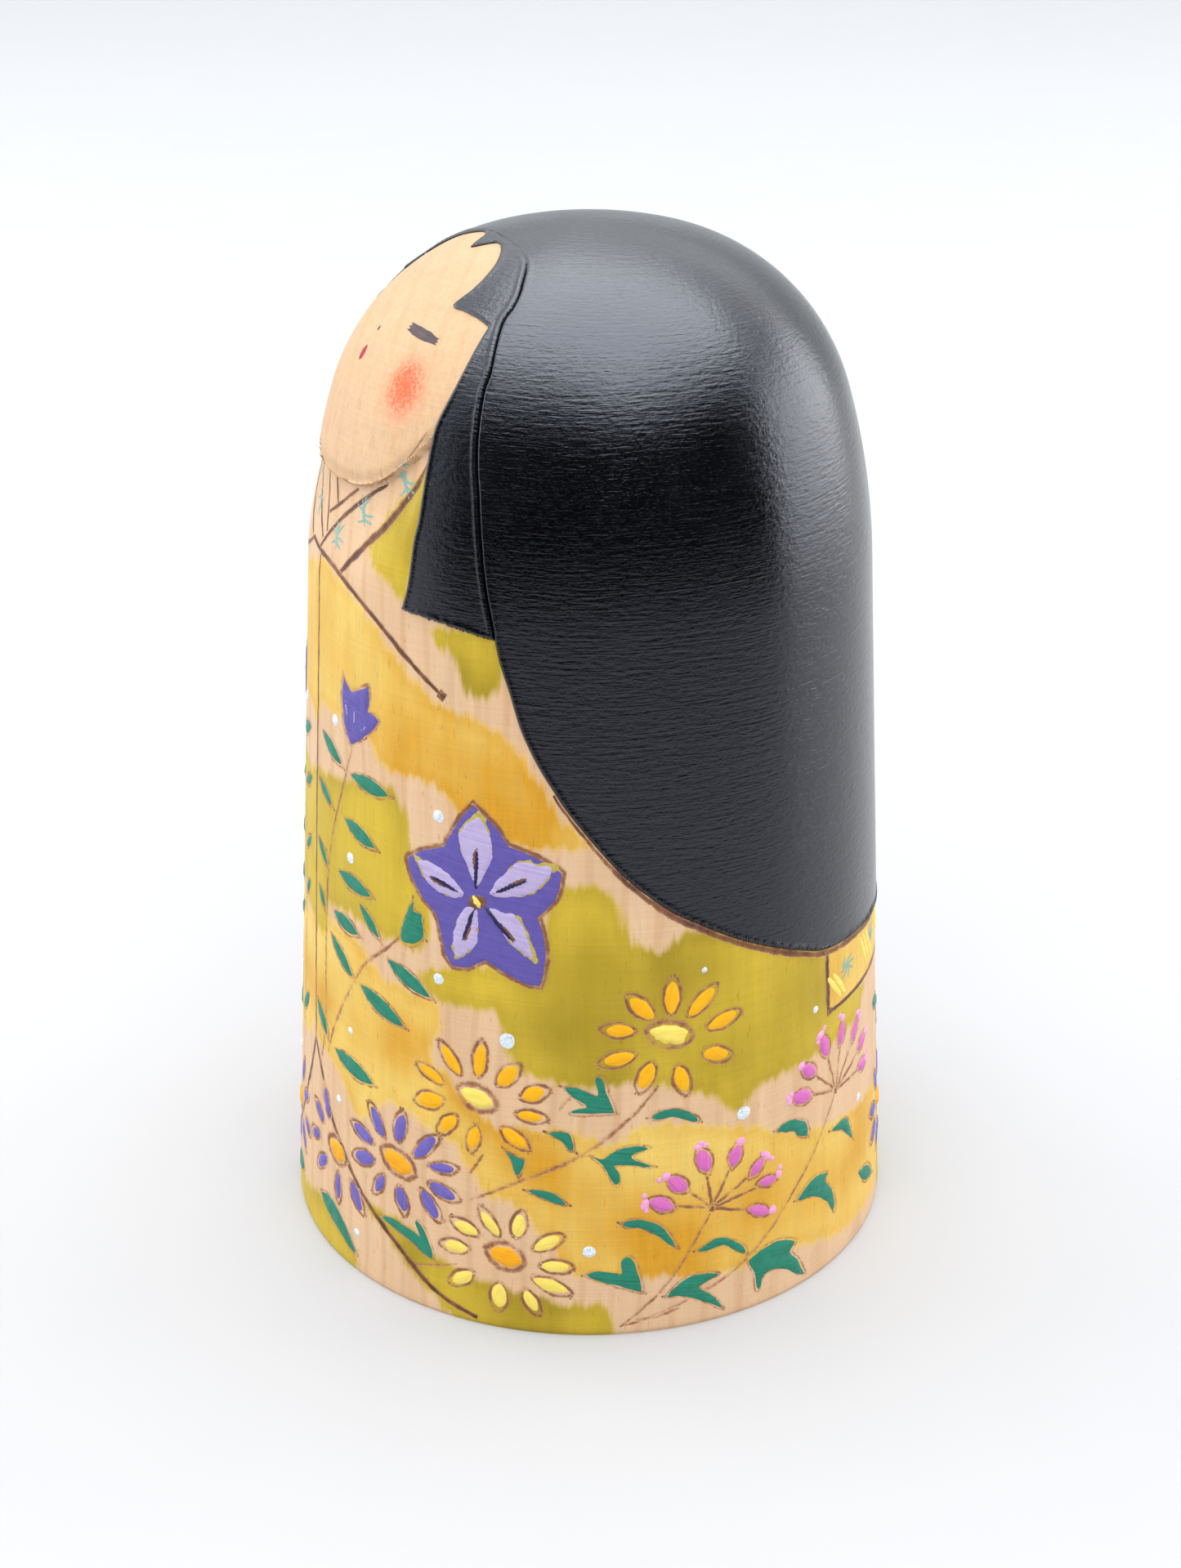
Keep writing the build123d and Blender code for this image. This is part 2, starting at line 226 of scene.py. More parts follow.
# Painted pieces: name, coat, material, the CAD nodes they replace and slot.
PIECES = [
    ("leaf_paint_layer", "leaf", "green", ["leaf_paint"], "green_paint"),
    ("bellflower_layer", "bellflower", "violet", ["bellflower_paint"], "violet_paint"),
    ("bellflower_light_layer", "bellflower_light", "lilac", [], "violet_paint"),
    ("bellflower_rim_layer", "bellflower_rim", "lime", [], "yellow_paint"),
    ("bellflower_spot_layer", "bellflower_spot", "umber", [], "wood"),
    ("bellflower_slit_layer", "bellflower_slit", "navy", [], "violet_paint"),
    ("aster_petals", "aster_petal", "aster", ["aster_petal_paint"], "violet_paint"),
    ("yellow_petals", "yellow_petal", "yellow", ["yellow_petal_paint"], "yellow_paint"),
    ("cream_petals", "cream_petal", "cream", ["cream_petal_paint"], "cream_paint"),
    ("gold_centres", "gold_centre", "gold", ["flower_centre_paint"], "gold_paint"),
    ("cream_centres", "cream_centre", "cream", ["flower_centre_paint"], "cream_paint"),
    ("pink_buds", "pink_bud", "pink", ["pink_bud_paint"], "pink_paint"),
    ("pink_tips", "pink_tip", "pale_pink", ["pink_tip_paint"], "pale_pink_paint"),
    ("silver_dots", "silver_dot", "silver", ["silver_dot_paint"], "silver_paint"),
    ("eyes", "eye", "ink", ["eye_paint"], "face_ink"),
    ("mouth", "mouth", "crimson", ["mouth_paint"], "crimson_paint"),
    ("nose_dot", "nose_dot", "ink", ["nose_dot_paint"], "face_ink"),
    ("bow_stripes", "bow_stripe", "cream", ["bow_paint"], "cream_paint"),
    ("scribbles", "collar_scribble", "mint", [], "green_paint"),
    ("scorched_lines", "scorched_line", "wood", [], "wood"),
]
COATS = {coat: Pieces() for _, coat, _, _, _ in PIECES}


def curve_part(a, b, c, d, steps):
    """Points from b towards c on a smooth line through four points (Catmull-Rom)."""
    t = np.linspace(0, 1, steps, endpoint=False)[:, None]
    bend = (2 * a - 5 * b + 4 * c - d) * t ** 2
    return 0.5 * (2 * b + (c - a) * t + bend + (3 * b - a - 3 * c + d) * t ** 3)


def closed_curve(points, steps=6):
    """A smooth closed line through points."""
    points = np.asarray(points, float)
    count = len(points)
    parts = [[points[(k + j) % count] for j in (-1, 0, 1, 2)] for k in range(count)]
    return np.concatenate([curve_part(*part, steps) for part in parts])


def open_curve(points, steps=8):
    """A smooth open line through points."""
    points = np.asarray(points, float)
    padded = np.vstack([2 * points[0] - points[1], points, 2 * points[-1] - points[-2]])
    parts = [curve_part(*padded[k:k + 4], steps) for k in range(len(points) - 1)]
    return np.vstack(parts + [points[-1:]])


def resample(points, spacing, closed):
    """Evenly spaced points along a line."""
    points = np.asarray(points, float)
    if closed:
        points = np.vstack([points, points[:1]])
    steps = np.hypot(*np.diff(points, axis=0).T)
    run = np.concatenate([[0], np.cumsum(steps)])
    count = max(int(round(run[-1] / spacing)), 8 if closed else 2)
    at = np.linspace(0, run[-1], count, endpoint=not closed)
    return np.stack([np.interp(at, run, points[:, k]) for k in (0, 1)], -1)


def wobble(points, amount, seed):
    """Moves points a little, as a hand does."""
    moved = [noise.noise_vector(Vector((x * 0.9, y * 0.9, seed * 7.31))) for x, y in points]
    return points + amount * np.array([(v.x, v.y) for v in moved])


def local_to_surface(points, centre):
    """Local millimetres round a centre, as angle and arc."""
    points = np.asarray(points, float)
    angle = centre[0] + np.degrees(points[:, 0] / radius_at(centre[1]))
    return angle, arc_at(centre[1] + points[:, 1])


def triangles(outline, inner):
    """Triangles that fill an outline, through its inner points."""
    coords = [Vector(p) for p in outline] + [Vector(p) for p in inner]
    verts, _, faces, origin, _, _ = delaunay_2d_cdt(coords, [], [list(range(len(outline)))], 1, 1e-7)
    return np.array([tuple(v) for v in verts]), faces


def inner_grid(outline, spacing, margin):
    """Grid points inside an outline, and a margin from it."""
    low, high = outline.min(0), outline.max(0)
    xs = np.arange(low[0], high[0], spacing)
    ys = np.arange(low[1], high[1], spacing * 0.87)
    grid = np.array([(x + (row % 2) * spacing / 2, y) for row, y in enumerate(ys) for x in xs])
    if not len(grid):
        return grid.reshape(0, 2)
    near = edge_distance(grid, outline) > margin
    return grid[near & contains(grid, outline)]


def edge_distance(points, outline):
    """Distance from each point to a closed outline."""
    best = np.full(len(points), 1e9)
    for a, b in zip(outline, np.roll(outline, -1, axis=0)):
        ab = b - a
        t = np.clip(((points - a) @ ab) / max(ab @ ab, 1e-12), 0, 1)
        best = np.minimum(best, np.hypot(*(points - a - t[:, None] * ab).T))
    return best


def contains(points, outline):
    """Whether each point is inside a closed outline."""
    inside = np.zeros(len(points), bool)
    for (x1, y1), (x2, y2) in zip(outline, np.roll(outline, -1, axis=0)):
        crosses = (y1 > points[:, 1]) != (y2 > points[:, 1])
        slope = (x2 - x1) / (y2 - y1 if abs(y2 - y1) > 1e-12 else 1e-12)
        inside ^= crosses & (points[:, 0] < x1 + (points[:, 1] - y1) * slope)
    return inside


def close_solid(top, bottom, faces):
    """Joins a skin to its underside along their shared edge."""
    count = len(top)
    edges = {}
    for face in faces:
        for a, b in zip(face, face[1:] + face[:1]):
            edges[(a, b)] = True
    walls = [(b, a, a + count, b + count) for a, b in edges if (b, a) not in edges]
    under = [tuple(i + count for i in reversed(face)) for face in faces]
    return np.concatenate([top, bottom]), [tuple(f) for f in faces] + under + walls


PAINT_THICKNESS = 0.13
PAINT_UNDER = -0.1
PAINT_LIFT = 0.02
PAINT_ROUNDING = 0.45
PAINT_BUMPS = 0.35
PAINT_WAVER = 0.1


def dab(coat, outline, centre, thickness=PAINT_THICKNESS, spacing=0.4, seed=0, direction=0.0):
    """One closed dab of paint, with a rounded edge and a slightly uneven top."""
    outline = wobble(resample(outline, spacing * 0.8, True), PAINT_WAVER, seed)
    outline = outline if signed_area(outline) > 0 else outline[::-1]
    flat, faces = triangles(outline, inner_grid(outline, spacing, spacing * 0.55))
    depth = edge_distance(flat, outline)
    bumps = np.array([noise.noise(Vector((x * 1.3, y * 1.3, seed * 3.7))) for x, y in flat])
    domed = smooth(0, min(PAINT_ROUNDING, 0.7 * depth.max()), depth)
    height = PAINT_LIFT + thickness * domed * (1 + PAINT_BUMPS * bumps)
    angle, arc = local_to_surface(flat, centre)
    top = on_surface(angle, arc, height)
    bottom = on_surface(angle, arc, PAINT_UNDER)
    verts, solid = close_solid(top, bottom, [list(f) for f in faces])
    along = flat @ np.array([math.cos(direction), math.sin(direction)])
    across = flat @ np.array([-math.sin(direction), math.cos(direction)])
    COATS[coat].add(verts, solid, np.tile(across + 0.15 * along + seed * 5.3, 2))


# Across a burnt line: offset in half widths, lift in millimetres, and how strongly it is burnt.
BURNT_SECTION = ((-1.0, 0.012, 0.0), (-0.5, 0.02, 0.75), (0.0, 0.012, 1.0), (0.5, 0.02, 0.75),
                 (1.0, 0.012, 0.0),
                 (0.0, -0.1, 0.0))
BURNT_SPREAD = 1.9
BURNT_WAVER = 0.3
PRESS_WAVER = 0.35
NARROWEST = 2.0


def ribbon(coat, angles, arcs, half_width, strength, seed):
    """One burnt or brushed line: a thin closed strip that lies on the surface and fades at its edges."""
    angles, arcs = np.asarray(angles, float), np.asarray(arcs, float)
    count = len(angles)
    radius = np.maximum(profile(arcs)[0], NARROWEST)
    run = np.stack([np.gradient(np.radians(angles)) * radius, -np.gradient(arcs)], -1)
    run /= np.maximum(np.hypot(*run.T), 1e-9)[:, None]
    side = np.stack([run[:, 1], -run[:, 0]], -1)
    grow = np.array([noise.noise(Vector((k * 0.37, seed * 1.7, 0.5))) for k in range(count)])
    width = half_width * BURNT_SPREAD * (1 + BURNT_WAVER * grow)
    rows = []
    for out, height, _ in BURNT_SECTION:
        at = side * (out * width)[:, None]
        rows.append(on_surface(angles + np.degrees(at[:, 0] / radius), arcs - at[:, 1], height))
    verts = np.stack(rows, 1).reshape(-1, 3)
    size = len(BURNT_SECTION)
    faces = [
        (k * size + j, k * size + (j + 1) % size, (k + 1) * size + (j + 1) % size, (k + 1) * size + j)
        for k in range(count - 1) for j in range(size)
    ]
    faces += [tuple(reversed(range(size))), tuple((count - 1) * size + j for j in range(size))]
    press = np.array([noise.noise(Vector((k * 0.21, seed * 2.9, 4.5))) for k in range(count)])
    burnt = np.outer(strength * (1 + PRESS_WAVER * press), [level for _, _, level in BURNT_SECTION])
    COATS[coat].add(verts, faces, burnt.ravel())


LINE_STEP = 0.4
LINE_WAVER = 0.16
LONG_LINE_WAVER = 0.12


def local_line(points, centre, half_width, closed=False, seed=0, taper=0.0, strength=1.0,
               coat="scorched_line"):
    """A ribbon along local millimetres round a centre."""
    points = wobble(resample(points, LINE_STEP, closed), LINE_WAVER, seed)
    if closed:
        points = np.vstack([points, points[:2]])
    angle, arc = local_to_surface(points, centre)
    ribbon(coat, angle, arc, half_width * tapered(len(points), taper), strength, seed)


def surface_line(points, half_width, seed, taper, strength):
    """A burnt line through places given as angle and height."""
    places = open_curve(points)
    flat = np.stack([np.radians(places[:, 0]) * radius_at(places[:, 1]), places[:, 1]], -1)
    steps = np.concatenate([[0], np.cumsum(np.hypot(*np.diff(flat, axis=0).T))])
    at = np.linspace(0, steps[-1], max(int(steps[-1] / LINE_STEP), 4))
    angle = np.interp(at, steps, places[:, 0])
    height = np.interp(at, steps, places[:, 1])
    wavy = np.array([noise.noise(Vector((x * 0.6, seed * 2.3, 1.1))) for x in at]) * LONG_LINE_WAVER
    angle = angle + np.degrees(wavy / radius_at(height))
    width = half_width * tapered(len(at), taper)
    ribbon("scorched_line", angle, arc_at(height), width, strength, seed)


def tapered(count, taper):
    """Width along a line: whole in the middle, thinner at the ends by the taper."""
    t = np.linspace(0, 1, count)
    return 1 - taper * (1 - smooth(0, 0.25, t) * smooth(0, 0.25, 1 - t))


# ---------------------------------------------------------------- materials
def srgb(red, green, blue):
    """Linear colour from 0 to 255 values."""
    def linear(c):
        c /= 255
        return c / 12.92 if c <= 0.04045 else ((c + 0.055) / 1.055) ** 2.4
    return (linear(red), linear(green), linear(blue), 1.0)


class Shader:
    """A small helper that adds and links shader nodes."""

    def __init__(self, name, roughness, specular):
        self.material = bpy.data.materials.new(name)
        self.material.use_nodes = True
        self.tree = self.material.node_tree
        self.surface = self.tree.nodes["Principled BSDF"]
        self.surface.inputs["Roughness"].default_value = roughness
        self.surface.inputs["Specular IOR Level"].default_value = specular

    def node(self, kind, inputs=None, **settings):
        """A new node, with its settings and its inputs' values or links."""
        made = self.tree.nodes.new("ShaderNode" + kind)
        for name, value in settings.items():
            setattr(made, name, value)
        for name, value in (inputs or {}).items():
            self.put(made.inputs[name], value)
        return made

    def put(self, socket, value):
        """Gives a socket a value, or a link from another socket."""
        if isinstance(value, bpy.types.NodeSocket):
            self.tree.links.new(value, socket)
        else:
            socket.default_value = value

    def place(self, scale):
        """Object coordinates, scaled on each axis."""
        coords = self.node("TexCoord").outputs["Object"]
        return self.node("Mapping", {"Vector": coords, "Scale": scale}).outputs["Vector"]

    def noise(self, scale, detail=3.0, rough=0.5, stretch=(1, 1, 1), distortion=0.0):
        made = self.node("TexNoise", {
            "Vector": self.place(stretch), "Scale": scale, "Detail": detail,
            "Roughness": rough, "Distortion": distortion,
        })
        return made.outputs["Fac"]

    def line_noise(self, at, scale, detail, rough):
        """Noise that changes along one value only."""
        return self.node("TexNoise", {
            "W": at, "Scale": scale, "Detail": detail, "Roughness": rough,
        }, noise_dimensions="1D").outputs["Fac"]

    def math(self, operation, first, second, clamp=False):
        made = self.node("Math", operation=operation, use_clamp=clamp)
        self.put(made.inputs[0], first)
        self.put(made.inputs[1], second)
        return made.outputs[0]

    def add(self, first, second, clamp=False):
        return self.math("ADD", first, second, clamp)

    def less(self, first, second):
        return self.math("SUBTRACT", first, second)

    def times(self, first, second):
        return self.math("MULTIPLY", first, second)

    def ranged(self, value, low, high, to_low=0.0, to_high=1.0):
        """A value's smooth step from low to high, turned into another range."""
        return self.node("MapRange", {
            "Value": value, "From Min": low, "From Max": high, "To Min": to_low, "To Max": to_high,
        }, interpolation_type="SMOOTHSTEP").outputs["Result"]

    def mix(self, factor, first, second, blend="MIX"):
        made = self.node("Mix", data_type="RGBA", blend_type=blend)
        self.put(made.inputs[0], factor)
        self.put(made.inputs[6], first)
        self.put(made.inputs[7], second)
        return made.outputs[2]

    def read(self, name):
        """A number stored on the mesh."""
        return self.node("Attribute", attribute_name=name).outputs["Fac"]

    def colour(self, value):
        self.put(self.surface.inputs["Base Color"], value)

    def roughness(self, value):
        self.put(self.surface.inputs["Roughness"], value)

    def bump(self, height, distance, strength):
        made = self.node("Bump", {"Height": height, "Distance": distance, "Strength": strength})
        self.put(self.surface.inputs["Normal"], made.outputs["Normal"])


BARE_WOOD = srgb(207, 174, 139)
WOOD_DARK = srgb(188, 148, 109)
FACE_WOOD = srgb(198, 164, 128)
FACE_DARK = srgb(190, 153, 113)
OCHRE_PALE = srgb(215, 184, 94)
OCHRE_DEEP = srgb(193, 138, 14)
OLIVE_PALE = srgb(192, 164, 40)
OLIVE_DEEP = srgb(149, 126, 3)
BLUSH = srgb(232, 84, 44)
SCORCH_PALE = srgb(170, 122, 84)
SCORCH = srgb(118, 74, 52)
SCORCH_DARK = srgb(58, 34, 28)
PORE_TINT = srgb(196, 140, 88)
LACQUER_DEEP = srgb(2, 2, 3)
LACQUER_SCUFFED = srgb(6, 6, 9)
SILVER_DARK = srgb(176, 190, 202)
SILVER_LIGHT = srgb(240, 246, 250)

# How far a stain's edge runs along the grain, and what deepens its tone.
FRINGE = 3.4
RIM_TONE = 0.2
SPOT_TONE = 0.6
GRAIN_TONE = 1.3
STAIN_COVER = 0.96


def wash(shader, base, name, pale, deep, grain):
    """One thin stain: ragged along the grain at its edge, and deeper where the brush left more."""
    ragged = shader.noise(1.0, 4, 0.6, stretch=(900, 900, 110))
    patchy = shader.noise(1.0, 3, 0.55, stretch=(75, 75, 50))
    depth = shader.add(shader.read(name), shader.times(shader.less(ragged, 0.5), FRINGE))
    cover = shader.ranged(depth, -0.6, 0.7)
    rim = shader.times(shader.ranged(depth, 0.0, 0.8), shader.ranged(depth, 2.6, 0.7))
    strength = shader.add(shader.ranged(patchy, 0.3, 0.75, 0.0, 0.5), shader.times(rim, RIM_TONE))
    strength = shader.add(strength, shader.times(shader.read("deep"), SPOT_TONE))
    strength = shader.add(strength, shader.times(shader.less(grain, 0.5), GRAIN_TONE), clamp=True)
    stain = shader.mix(strength, pale, deep)
    return shader.mix(shader.times(cover, STAIN_COVER), base, stain)


def burn(shader, ground):
    """Burnt lines over the stained wood: brown and patchy, nearly black where the tip dwelt."""
    patch = shader.less(shader.noise(1400, 4, 0.65), 0.5)
    level = shader.add(shader.read("burnt"), shader.times(patch, 1.1))
    shade = shader.mix(shader.ranged(level, 0.4, 1.0), SCORCH_PALE, SCORCH)
    shade = shader.mix(shader.ranged(level, 0.95, 1.5), shade, SCORCH_DARK)
    return shader.mix(shader.ranged(level, 0.22, 0.85, 0.0, 0.94), ground, shade)


def wood_material():
    """Pale turned wood with its grain, stains, blush and burnt lines."""
    shader = Shader("stained_wood", 0.55, specular=0.22)
    fibres = shader.noise(1.0, 5, 0.65, stretch=(2200, 2200, 45))
    streaks = shader.noise(1.0, 4, 0.55, stretch=(330, 330, 8), distortion=0.6)
    turning = shader.noise(1.0, 3, 0.6, stretch=(60, 60, 3400))
    rings = shader.node("TexWave", {
        "Vector": shader.node("Mapping", {
            "Vector": shader.node("TexCoord").outputs["Object"], "Location": (0.055, 0.09, 0.0),
        }).outputs["Vector"],
        "Scale": 95.0, "Distortion": 2.2, "Detail": 2.0, "Detail Scale": 0.6,
    }, wave_type="RINGS", rings_direction="Z").outputs["Fac"]
    grain = shader.add(shader.times(fibres, 0.6), shader.times(streaks, 0.4))
    ringed = shader.times(shader.ranged(rings, 0.72, 1.0), 0.3)
    tone = shader.add(shader.ranged(grain, 0.36, 0.66, 0.0, 0.62), ringed, clamp=True)
    base = shader.mix(tone, BARE_WOOD, WOOD_DARK)
    base = shader.mix(shader.read("face"), base, shader.mix(tone, FACE_WOOD, FACE_DARK))
    stained = wash(shader, base, "ochre", OCHRE_PALE, OCHRE_DEEP, grain)
    stained = wash(shader, stained, "olive", OLIVE_PALE, OLIVE_DEEP, grain)
    turned_lines = shader.ranged(turning, 0.3, 0.7, -0.03, 0.025)
    cross = shader.add(shader.ranged(fibres, 0.3, 0.7, 0.9, 1.07), turned_lines)
    lines = shader.node("CombineXYZ", {"X": cross, "Y": cross, "Z": cross}).outputs["Vector"]
    stained = shader.mix(1.0, stained, lines, blend="MULTIPLY")
    pores = shader.ranged(shader.noise(1.0, 2, 0.5, stretch=(3000, 3000, 500)), 0.66, 0.74, 0.0, 0.35)
    stained = shader.mix(pores, stained, PORE_TINT, blend="MULTIPLY")
    speckle = shader.noise(2600, 2, 0.7)
    powder = shader.times(shader.read("blush"), shader.ranged(speckle, 0.3, 0.68, 0.45, 1.05))
    blushed = shader.mix(shader.ranged(powder, 0.05, 1.0, 0.0, 0.9), stained, BLUSH)
    shader.colour(burn(shader, blushed))
    rough = shader.ranged(shader.noise(1.0, 3, 0.5, stretch=(400, 400, 60)), 0.3, 0.7, 0.48, 0.62)
    shader.roughness(rough)
    height = shader.add(shader.times(turning, 0.6), shader.times(fibres, 0.5))
    height = shader.less(height, shader.times(shader.read("burnt"), 1.5))
    shader.bump(height, 0.00006, 0.6)
    return shader.material


def turned_noise(shader, across, along, detail):
    """Noise drawn out round the turning axis: scales across in 1/m and along the outline in 1/mm."""
    spot = shader.node("SeparateXYZ", {"Vector": shader.place((across, across, 1))}).outputs
    down = shader.times(shader.read("arc"), along)
    joined = shader.node("CombineXYZ", {"X": spot["X"], "Y": spot["Y"], "Z": down}).outputs["Vector"]
    made = shader.node("TexNoise", {"Vector": joined, "Scale": 1.0, "Detail": detail, "Roughness": 0.62})
    return made.outputs["Fac"]


def lacquer_material():
    """Deep black lacquer with faint turning marks round the head, tiny pits and dull scuffs."""
    shader = Shader("black_lacquer", 0.18, specular=0.66)
    shader.surface.inputs["Specular Tint"].default_value = (0.84, 0.88, 1.0, 1.0)
    arc = shader.read("arc")
    drift = shader.times(shader.noise(1.0, 2, 0.5, stretch=(45, 45, 45)), 2.6)
    rings = shader.line_noise(shader.add(arc, drift), 2.6, 4.0, 0.65)
    dashes = turned_noise(shader, 380, 2.6, 3.0)
    pits = turned_noise(shader, 1300, 1.7, 3.0)
    scuffs = shader.ranged(shader.noise(1.0, 4, 0.6, stretch=(45, 45, 30)), 0.35, 0.7)
    shader.colour(shader.mix(scuffs, LACQUER_DEEP, LACQUER_SCUFFED))
    dull = shader.add(shader.times(scuffs, 0.5), shader.times(dashes, 0.5))
    shader.roughness(shader.ranged(dull, 0.25, 0.7, 0.16, 0.22))
    marks = shader.add(shader.times(rings, 0.3), shader.times(dashes, 0.8))
    height = shader.add(marks, shader.times(pits, 0.6))
    shader.bump(height, 0.00013, 0.75)
    return shader.material


def paint_material(name, main, shade):
    """Brush paint: streaks along the stroke, a little wood showing through and a soft uneven gloss."""
    shader = Shader(name, 0.5, specular=0.25)
    streak = shader.line_noise(shader.read("along"), 3.2, 3.0, 0.6)
    patch = shader.noise(700, 3, 0.6)
    tone = shader.add(shader.times(streak, 0.6), shader.times(patch, 0.4))
    shader.colour(shader.mix(shader.ranged(tone, 0.35, 0.7), main, shade))
    shader.roughness(shader.ranged(patch, 0.3, 0.7, 0.42, 0.58))
    shader.bump(tone, 0.00005, 0.5)
    return shader.material


def silver_material():
    """Silver paint full of small flakes."""
    shader = Shader("silver_paint", 0.3, specular=0.6)
    shader.surface.inputs["Metallic"].default_value = 0.35
    flakes = shader.node("TexVoronoi", {"Vector": shader.place((1, 1, 1)), "Scale": 5200.0})
    shader.colour(shader.mix(flakes.outputs["Color"], SILVER_DARK, SILVER_LIGHT))
    shader.bump(flakes.outputs["Distance"], 0.00008, 0.7)
    return shader.material


# Paints: key, name, main colour and the shade in its streaks.
PAINTS = [
    ("ink", "face_ink", (86, 70, 73), (60, 47, 51)),
    ("crimson", "crimson_paint", (167, 41, 58), (141, 28, 45)),
    ("violet", "violet_paint", (90, 79, 152), (79, 68, 137)),
    ("aster", "aster_paint", (105, 92, 165), (86, 75, 147)),
    ("lilac", "lilac_paint", (173, 160, 196), (158, 143, 182)),
    ("navy", "navy_paint", (36, 32, 73), (26, 23, 55)),
    ("lime", "lime_paint", (175, 158, 70), (150, 132, 66)),
    ("umber", "umber_stain", (120, 83, 56), (90, 58, 43)),
    ("yellow", "yellow_paint", (226, 167, 4), (216, 150, 2)),
    ("cream", "cream_paint", (224, 203, 98), (214, 188, 79)),
    ("gold", "gold_paint", (224, 158, 8), (212, 139, 6)),
    ("pink", "pink_paint", (197, 103, 169), (182, 86, 154)),
    ("pale_pink", "pale_pink_paint", (222, 158, 194), (211, 135, 180)),
    ("green", "green_paint", (32, 120, 98), (21, 102, 79)),
    ("mint", "mint_paint", (126, 160, 148), (108, 148, 137)),
]
MATERIALS = {
    "wood": wood_material(),
    "lacquer": lacquer_material(),
    "silver": silver_material(),
}
for paint, paint_name, main_colour, streak_colour in PAINTS:
    MATERIALS[paint] = paint_material(paint_name, srgb(*main_colour), srgb(*streak_colour))


# ---------------------------------------------------------------- the block
FINE_ANGLE = 0.55
COARSE_ANGLE = 1.6
FINE_FRONT = 58.0
CHIN_ROWS = (112.5, 101.0)
CROWN_HOLE = 0.25
FOOT_ROUNDING = 0.6
FOOT_DEPTH = 0.25


def rows_of_arcs():
    """Rows down the outline, closer together round the chin."""
    chin_top, chin_foot = (float(arc_at(height)) for height in CHIN_ROWS)
    stops = (CROWN_HOLE, chin_top, chin_foot, TOTAL_ARC - FOOT_ROUNDING)
    parts = [np.linspace(*ends, rows, endpoint=False) for *ends, rows in zip(stops, stops[1:], (62, 44, 120))]
    return np.concatenate(parts + [np.linspace(stops[-1], TOTAL_ARC, 5)])


REGION_REACH = 6.0


def region_distance(angle, height, outlines):
    """Signed distance in millimetres to the nearest of some outlines, positive inside."""
    best = np.full(len(angle), -REGION_REACH)
    for outline in outlines:
        curve = closed_curve(outline, 4)
        middle = curve.mean(0)
        scale = math.radians(1) * float(radius_at(middle[1]))
        points = np.stack([turn_from(middle[0], angle) * scale, height - middle[1]], -1)
        shape = np.stack([(curve[:, 0] - middle[0]) * scale, curve[:, 1] - middle[1]], -1)
        signed = edge_distance(points, shape) * np.where(contains(points, shape), 1, -1)
        best = np.maximum(best, signed)
    return np.minimum(best, REGION_REACH)


# Stained patches on the doll's left, as angle and height.
OCHRE_PATCHES = [
    [(-1, 92.3), (10, 91.6), (18, 90), (28, 86), (38, 81.5), (50, 79.5), (56, 76.3), (63, 69.2),
        (68, 65.5), (56, 65), (46, 67), (38, 70.6), (26, 71.2), (20, 74.2), (5, 74.8), (-4, 75)],
    [(-3, 44.5), (16, 47.5), (26, 44.2), (38, 43.5), (40, 40), (38, 36.2), (43, 32.7), (52, 27),
        (44, 24.5), (29, 27.4), (20, 22.5), (11, 27.5), (0, 30)],
    [(44, 27), (63, 28.8), (72, 27), (80, 29.5), (96, 26.8), (116, 21.5), (138, 19), (150, 17), (150, 5),
        (128, 3), (107, 6), (92, 6.6), (80, 7.8), (66, 8.6), (62, 11.7), (58, 15.3), (54, 18),
        (48, 19.5)],
]
OLIVE_PATCHES = [
    [(26, 103), (34, 107.5), (33, 96), (31.5, 91.8), (28, 93), (22, 95), (19, 97.3)],
    [(37, 89.8), (51, 90.2), (52, 84), (46, 82.6), (42, 86.3)],
    [(-8, 63), (13, 67.3), (26, 69), (31, 67.4), (33, 62), (37, 55.5), (35, 49.5), (28, 49.4), (19, 50.1),
        (6, 49), (-8, 46)],
    [(61, 59.5), (72, 60), (76, 53.7), (81, 52), (90, 54), (116, 46.5), (134, 44), (134, 33), (112, 31.7),
        (101, 31), (96, 28.6), (89, 32), (77, 35), (69, 34.7), (57, 35.7), (53, 38.4), (50, 43.4),
        (40, 43.6), (35, 46.6), (50, 49.8), (58, 48.4)],
    [(21, 11), (33, 11), (41, 7.6), (50, 6.3), (63, 4.7), (71, 4), (71, -1), (56, -1), (46, -1), (36, 3.3),
        (29, 7.5)],
    [(-8, 3), (8, 6.3), (20, 1.6), (12, -1), (-8, -1)],
]
BACK_OCHRE = [[(150, 34), (176, 33), (206, 35), (208, 20), (186, 13), (160, 15)]]
BACK_OLIVE = [[(152, 10), (178, 9), (200, 12), (206, -1), (150, -1)]]
# Deeper tones within the stains: angle, height and size.
DEEP_SPOTS = [
    (34, 74, 6), (48, 72, 7), (57, 70, 6), (45, 84, 4), (67, 50, 5), (72, 44, 7), (84, 48, 6),
    (60, 42, 4), (70, 37, 5), (100, 36, 7), (118, 40, 6), (48, 31, 5), (30, 36, 4), (62, 22, 5),
    (55, 26, 4), (76, 16, 6), (84, 11, 5), (100, 15, 6), (118, 12, 7), (135, 14, 6), (30, 100, 4),
    (56, 3, 6), (34, 8, 3), (5, 36, 4),
]
SIDE_TURN = -2.0
SIDE_DROP = 1.5
BOW_HALF_TURN = 60.4
BOW_HEIGHTS = (36.6, 46.5)
BOW_OCHRE = 1.6
BOW_OLIVE = -3.0
DEEPEST = 1.2


def other_side(outline):
    """The same outline on the doll's right, a little lower."""
    return [(SIDE_TURN - angle, height - SIDE_DROP) for angle, height in reversed(outline)]


